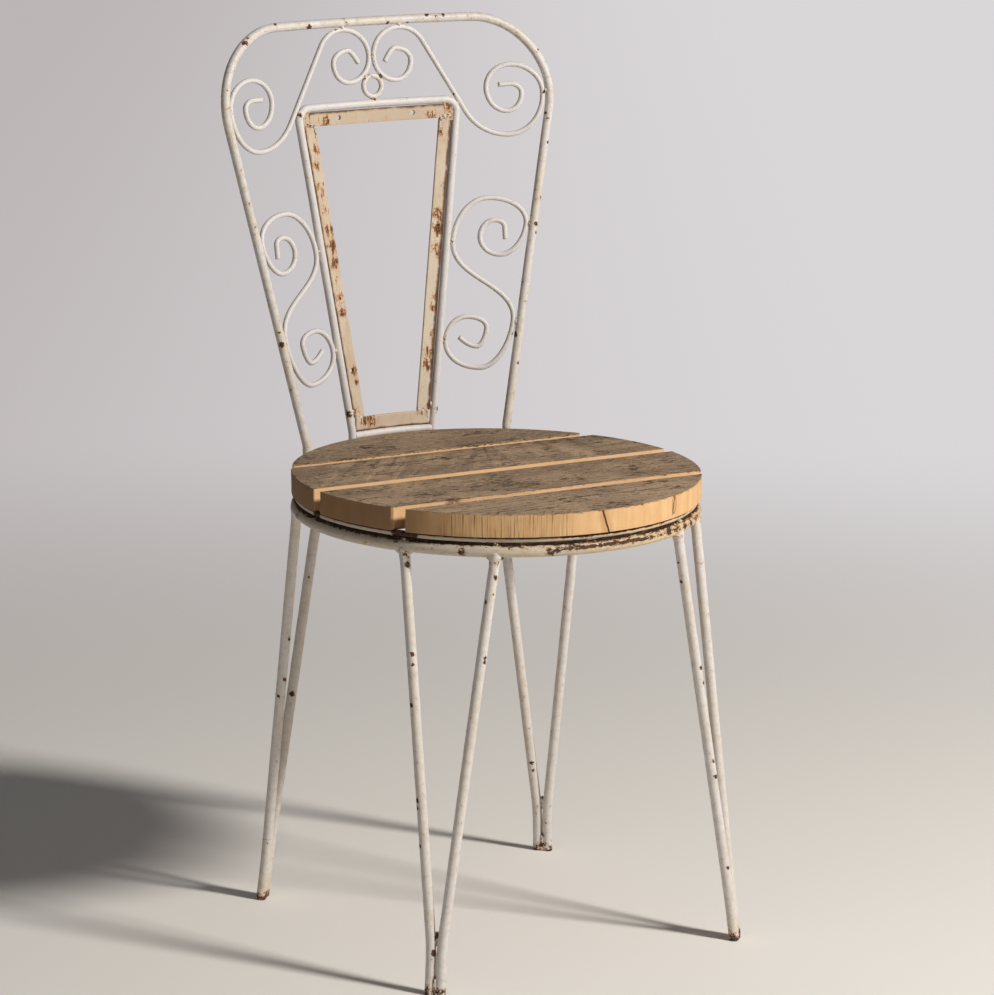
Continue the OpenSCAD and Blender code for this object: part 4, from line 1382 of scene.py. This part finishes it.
class CHAIR_OT_weld_beads(bpy.types.Operator):
    """Makes the weld beads of the back and where the hoops meet the rings."""

    bl_idname = "chair.weld_beads"
    bl_label = "Weld beads"

    def execute(self, context):
        seeds = itertools.count(1)
        self.scroll_welds(context.scene.chair_sizes.bead / MM, seeds)
        self.ring_welds(seeds)
        for side, word in ((-1, "left"), (1, "right")):
            corner_plate("corner_plate_" + word, side)
        self.strip_welds(seeds)
        return {"FINISHED"}

    def scroll_welds(self, bead, seeds):
        """A bead in front of and behind every place where rods touch."""
        both, single = weld_places()
        bm = bmesh.new()
        for x, z in both:
            for side in (-1, 1):
                for face in (-1, 1):
                    p = on_back((x, z), side)
                    p = (p[0], p[1] + face * 1.3, p[2])
                    lump(bm, p, (bead * 0.8, bead * 0.75, bead * 1.1), next(seeds))
        for x, z in single:
            for face in (-1, 1):
                p = on_back((x, z))
                p = (p[0], p[1] + face * 1.2, p[2])
                lump(bm, p, (bead * 0.9, bead * 0.75, bead), next(seeds))
        mesh = settle(bm, bpy.data.meshes.new("scroll_welds"))
        lay_attribute(mesh, "wear", wear_from(corners(mesh), rod_spots(), 0.5))
        lay_attribute(mesh, "dirt", 0.5)
        new_piece("scroll_welds", mesh, "cream_paint")

    def ring_welds(self, seeds):
        """Beads where the hoops pass the rings and where the legs meet them."""
        bm = bmesh.new()
        for width in (HOOP_BASE, PANEL_BASE):
            for side in (-1, 1):
                a = math.atan2(bow_y(width, SEAT_LOW), side * width)
                for z, r in ((RING_Z, SEAT_R), (REST_Z, RING_R + REST_ROD)):
                    for along in (-1, 1):
                        place = on_ring(r, a + along * 3.2 / SEAT_R, z)
                        lump(bm, place, (2.6, 2.6, 3.8), next(seeds))
        for name in LEGS:
            for which in (-1, 1):
                top = leg_top(name, which)
                for face in (-1, 1):
                    a = math.atan2(top.y, top.x) + face * 5.2 / RING_R
                    lump(bm, on_ring(RING_R, a, LEG_TOP_Z + 0.2), (3.4, 3.4, 2.2), next(seeds))
        bead_piece("ring_welds", bm, 0.42, 0.45)

    def strip_welds(self, seeds):
        """Flat beads where the strips meet each other and the panel's hoop."""
        low_z = BOTTOM_ROD_Z + PANEL_ROD + STRIP_W
        high_z = PANEL_Z - PANEL_ROD - STRIP_W - 1
        inner = STRIP_W + PANEL_ROD
        # Height, how far in from the hoop's middle line, half width, half height
        beads = [(high_z, inner - 1, 1.6, 2.8), (high_z - 4, inner - 1, 1.3, 3.2),
                 (high_z - 9, inner - 1.5, 1.0, 2.4), (high_z + 2.5, inner - 5, 2.4, 1.6),
                 (high_z + 3, inner - 10, 2.6, 1.6), (low_z + 1, inner - 1, 1.8, 1.8),
                 (low_z, inner - 5, 2.4, 1.5), (low_z, inner - 9, 2.2, 1.4),
                 (low_z + 6, PANEL_ROD + 0.5, 1.2, 2.6), (high_z + 11, PANEL_ROD + 1.5, 1.6, 2.0)]
        bm = bmesh.new()
        for side in (-1, 1):
            for z, back_off, wide, tall in beads:
                p = on_back((panel_x(z) - back_off, z), side, PANEL_STEP + 1.3)
                lump(bm, p, (wide, 1.1, tall), next(seeds), rough=0.4)
        bead_piece("strip_welds", bm, 0.42, 0.75)


class CHAIR_OT_seat_boards(bpy.types.Operator):
    """Makes the four boards of the seat, with worn edges."""

    bl_idname = "chair.seat_boards"
    bl_label = "Seat boards"

    def execute(self, context):
        edge = context.scene.chair_sizes.board_edge
        bounds = [None, *GAPS, None]
        for i, word in enumerate(("back", "mid_back", "mid_front", "front")):
            bm = self.plain_board(bounds[i], bounds[i + 1])
            self.ease_and_wear(bm, edge, i)
            name = "seat_plank_" + word
            mesh = settle(bm, bpy.data.meshes.new(name))
            co = corners(mesh)
            depth = SEAT_TOP * MM - co[:, 2]
            from_middle = np.hypot(co[:, 0], co[:, 1] - SEAT_Y)
            lay_attribute(mesh, "sawn", np.clip(depth / edge * 1.6, 0, 1))
            lay_attribute(mesh, "outer", (from_middle > (SEAT_R - 2.2) * MM).astype(float))
            lay_attribute(mesh, "board", 0.37 * (i + 1))
            new_piece(name, mesh, "seat_wood", ["seat_board_" + word], crease=40)
        return {"FINISHED"}

    def plain_board(self, behind, ahead):
        """A disc cut off along the gaps on either side of a board, then raised."""
        bm = bmesh.new()
        bmesh.ops.create_circle(
            bm, cap_ends=True, segments=720, radius=(SEAT_R - BOARD_SKIN) * MM,
            matrix=Matrix.Translation(to_frame((0, 0, SEAT_LOW))))
        for gap, sign in ((behind, 1), (ahead, -1)):
            if gap is None:
                continue
            turn = math.radians(gap[1])
            across = Vector((-math.sin(turn), math.cos(turn), 0)) * sign
            place = to_frame((0, gap[0] - sign * GAP_W / 2, SEAT_LOW))
            bmesh.ops.bisect_plane(
                bm, geom=everything(bm), dist=ON_PLANE,
                plane_co=place, plane_no=across, clear_outer=True)
        # The straight sides are divided too, so that they can be worn uneven
        for straight_side in [e for e in bm.edges if e.calc_length() > 0.02]:
            bmesh.ops.subdivide_edges(bm, edges=[straight_side], cuts=160)
        raised = bmesh.ops.extrude_face_region(bm, geom=bm.faces[:])["geom"]
        upper = [v for v in raised if isinstance(v, bmesh.types.BMVert)]
        bmesh.ops.translate(bm, verts=upper, vec=(0, 0, (SEAT_TOP - SEAT_LOW) * MM))
        bmesh.ops.recalc_face_normals(bm, faces=bm.faces)
        return bm

    def ease_and_wear(self, bm, edge, i):
        """Rounds a board's rims and wears its corners and walls a little uneven."""
        rims = [e for e in bm.edges if any(abs(f.normal.z) > 0.9 for f in e.link_faces)]
        bmesh.ops.bevel(bm, geom=rims, offset=edge, segments=3, profile=0.5, material=-1,
                        affect="EDGES", clamp_overlap=True)
        walls = [e for e in bm.edges if abs((e.verts[0].co - e.verts[1].co).z) > 0.015]
        bmesh.ops.subdivide_edges(bm, edges=walls, cuts=5, use_grid_fill=True)
        bm.normal_update()
        for v in bm.verts:
            if len(v.link_faces) < 3:
                continue
            inward = 0.00030 * (noise.noise(v.co * 70 + Vector((i * 3, 0, 0))) - 0.6)
            side = Vector((v.normal.x, v.normal.y, 0))
            if side.length > 0.3:
                v.co += side.normalized() * inward
            if v.normal.z > 0.2 and side.length > 0.15:
                v.co.z -= 0.0005 * max(0, noise.noise(v.co * 160) + 0.15)


# Screws, in millimetres: a head's height and two radii, a shank's radius and length, and
# how far the shank starts inside the head
HEAD_TALL, HEAD_LOW_R, HEAD_R = 2.5, 3.3, 4
SHANK_R, SHANK_LONG, SHANK_IN = 2, 30.2, 0.3


class CHAIR_OT_battens(bpy.types.Operator):
    """Makes the two battens under the boards and the screws that hold them."""

    bl_idname = "chair.battens"
    bl_label = "Battens and screws"

    def execute(self, context):
        for word in ("left", "right"):
            node = "batten_" + word
            bm, mesh = eased_copy(node, "cross_" + node, edge=0.001, shortest=0.012)
            plain_faces(bm)
            new_piece("cross_" + node, settle(bm, mesh), "batten_wood", [node], crease=35)
        bm = bmesh.new()
        back, mid, front = (gap for gap, _ in GAPS)
        rows = [(back + SEAT_R) / 2 - 12, (back + mid) / 2, (mid + front) / 2,
                (front - SEAT_R) / 2 + 12]
        for side in (-1, 1):
            for y in rows:
                self.screw(bm, side * BATTEN_X, y)
        mesh = settle(bm, bpy.data.meshes.new("screws"))
        new_piece("screws", mesh, "screw_steel", ["batten_screws"], crease=35)
        return {"FINISHED"}

    def screw(self, bm, x, y):
        """A screw driven up through a batten: a head with a socket in it, and a shank."""
        made = bmesh.ops.create_cone(
            bm, cap_ends=True, segments=28,
            radius1=HEAD_LOW_R * MM, radius2=HEAD_R * MM, depth=HEAD_TALL * MM,
            matrix=Matrix.Translation(to_frame((x, y, BATTEN_LOW - HEAD_TALL / 2))))["verts"]
        faces = {f for v in made for f in v.link_faces}
        under = min(faces, key=lambda f: f.calc_center_median().z)
        bmesh.ops.inset_region(bm, faces=[under], thickness=0.0016)
        bmesh.ops.inset_region(bm, faces=[under], thickness=0.00005)
        bmesh.ops.translate(bm, verts=list(under.verts), vec=(0, 0, 0.0014))
        shank_z = BATTEN_LOW + SHANK_LONG / 2 - SHANK_IN
        bmesh.ops.create_cone(
            bm, cap_ends=True, segments=20,
            radius1=SHANK_R * MM, radius2=SHANK_R * MM, depth=SHANK_LONG * MM,
            matrix=Matrix.Translation(to_frame((x, y, shank_z))))


LAMP_AIM = (0, 0, 0.45)
# Place and width in metres, watts, colour
LAMPS = {
    "key": ((1.68, -2.9, 2.8), 0.6, 164, (1.0, 0.975, 0.935)),
    "fill": ((-2.6, -1.2, 1.6), 2.4, 2.5, (0.95, 0.97, 1.0)),
}
ROOM_COLOUR, ROOM_STRENGTH = (0.97, 0.98, 1.0, 1), 0.10
# Millimetres about the seat's centre, degrees, then the lens and its shift
CAMERA_PLACE = (-2266, -3631, 1376.5)
CAMERA_YAW, CAMERA_DIP, CAMERA_ROLL = -31.99, 12.41, 0.73
CAMERA_LENS, CAMERA_SENSOR, CAMERA_SHIFT = 162.9, 36, (-0.001, -0.0075)


def area_lamp(name, place, size, power, colour):
    """A round soft lamp turned to the middle of the chair."""
    light = bpy.data.lights.new(name, "AREA")
    light.shape = "DISK"
    light.size = size
    light.energy = power
    light.color = colour
    lamp = bpy.data.objects.new(name, light)
    bpy.context.scene.collection.objects.link(lamp)
    lamp.location = place
    aim = Vector(LAMP_AIM) - Vector(place)
    lamp.rotation_euler = aim.to_track_quat("-Z", "Y").to_euler()


class CHAIR_OT_stage(bpy.types.Operator):
    """Makes the floor, the lamps, the room's light and the camera."""

    bl_idname = "chair.stage"
    bl_label = "Stage"

    def execute(self, context):
        scene = context.scene
        bm = bmesh.new()
        bmesh.ops.create_circle(bm, cap_ends=True, segments=64, radius=40)
        mesh = settle(bm, bpy.data.meshes.new("floor"))
        if mesh.polygons[0].normal.z < 0:
            mesh.flip_normals()
        floor = bpy.data.objects.new("floor", mesh)
        scene.collection.objects.link(floor)
        mesh.materials.append(finish_of("studio_floor"))

        for name, (place, size, power, colour) in LAMPS.items():
            area_lamp(name, place, size, power, colour)
        world = bpy.data.worlds.new("studio")
        world.use_nodes = True
        back = world.node_tree.nodes["Background"]
        back.inputs["Color"].default_value = ROOM_COLOUR
        back.inputs["Strength"].default_value = ROOM_STRENGTH
        scene.world = world
        scene.view_settings.view_transform = "Standard"
        self.set_up_camera(scene)
        return {"FINISHED"}

    def set_up_camera(self, scene):
        """A camera in front and to the left, above the back, looking down."""
        yaw, dip, roll = (math.radians(a) for a in (CAMERA_YAW, CAMERA_DIP, CAMERA_ROLL))
        ahead = Vector(
            (-math.sin(yaw) * math.cos(dip), math.cos(yaw) * math.cos(dip), -math.sin(dip)))
        right = Vector((math.cos(yaw), math.sin(yaw), 0))
        up = right.cross(ahead)
        right_rolled = right * math.cos(roll) + up * math.sin(roll)
        up_rolled = up * math.cos(roll) - right * math.sin(roll)
        turn = Matrix((right_rolled, up_rolled, -ahead)).transposed()
        data = bpy.data.cameras.new("camera")
        data.sensor_fit = "HORIZONTAL"
        data.sensor_width = CAMERA_SENSOR
        data.lens = CAMERA_LENS
        data.shift_x, data.shift_y = CAMERA_SHIFT
        camera = bpy.data.objects.new("camera", data)
        scene.collection.objects.link(camera)
        camera.matrix_world = Matrix.Translation(to_frame(CAMERA_PLACE)) @ turn.to_4x4()
        scene.camera = camera


OPERATORS = (
    CHAIR_OT_stage,
    CHAIR_OT_seat_rings,
    CHAIR_OT_legs,
    CHAIR_OT_leg_webs,
    CHAIR_OT_hoops,
    CHAIR_OT_scrolls,
    CHAIR_OT_panel_strips,
    CHAIR_OT_weld_beads,
    CHAIR_OT_seat_boards,
    CHAIR_OT_battens,
)


class CHAIR_PT_panel(bpy.types.Panel):
    """Lists the chair's settings and the pieces that can be made."""

    bl_idname = "CHAIR_PT_panel"
    bl_label = "Weathered Scroll Chair"
    bl_space_type = "VIEW_3D"
    bl_region_type = "UI"
    bl_category = "Chair"

    def draw(self, context):
        layout = self.layout
        for group in (context.scene.chair_sizes, context.scene.chair_colours):
            box = layout.box()
            for name in group.__annotations__:
                box.prop(group, name)
        column = layout.column(align=True)
        for operator in OPERATORS:
            column.operator(operator.bl_idname)


CLASSES = (ChairSizes, ChairColours, *OPERATORS, CHAIR_PT_panel)


def register():
    for cls in CLASSES:
        bpy.utils.register_class(cls)
    bpy.types.Scene.chair_sizes = PointerProperty(type=ChairSizes)
    bpy.types.Scene.chair_colours = PointerProperty(type=ChairColours)


def unregister():
    del bpy.types.Scene.chair_colours
    del bpy.types.Scene.chair_sizes
    for cls in reversed(CLASSES):
        bpy.utils.unregister_class(cls)


def main():
    register()
    for operator in OPERATORS:
        group, name = operator.bl_idname.split(".")
        getattr(getattr(bpy.ops, group), name)()


if __name__ == "__main__":
    main()
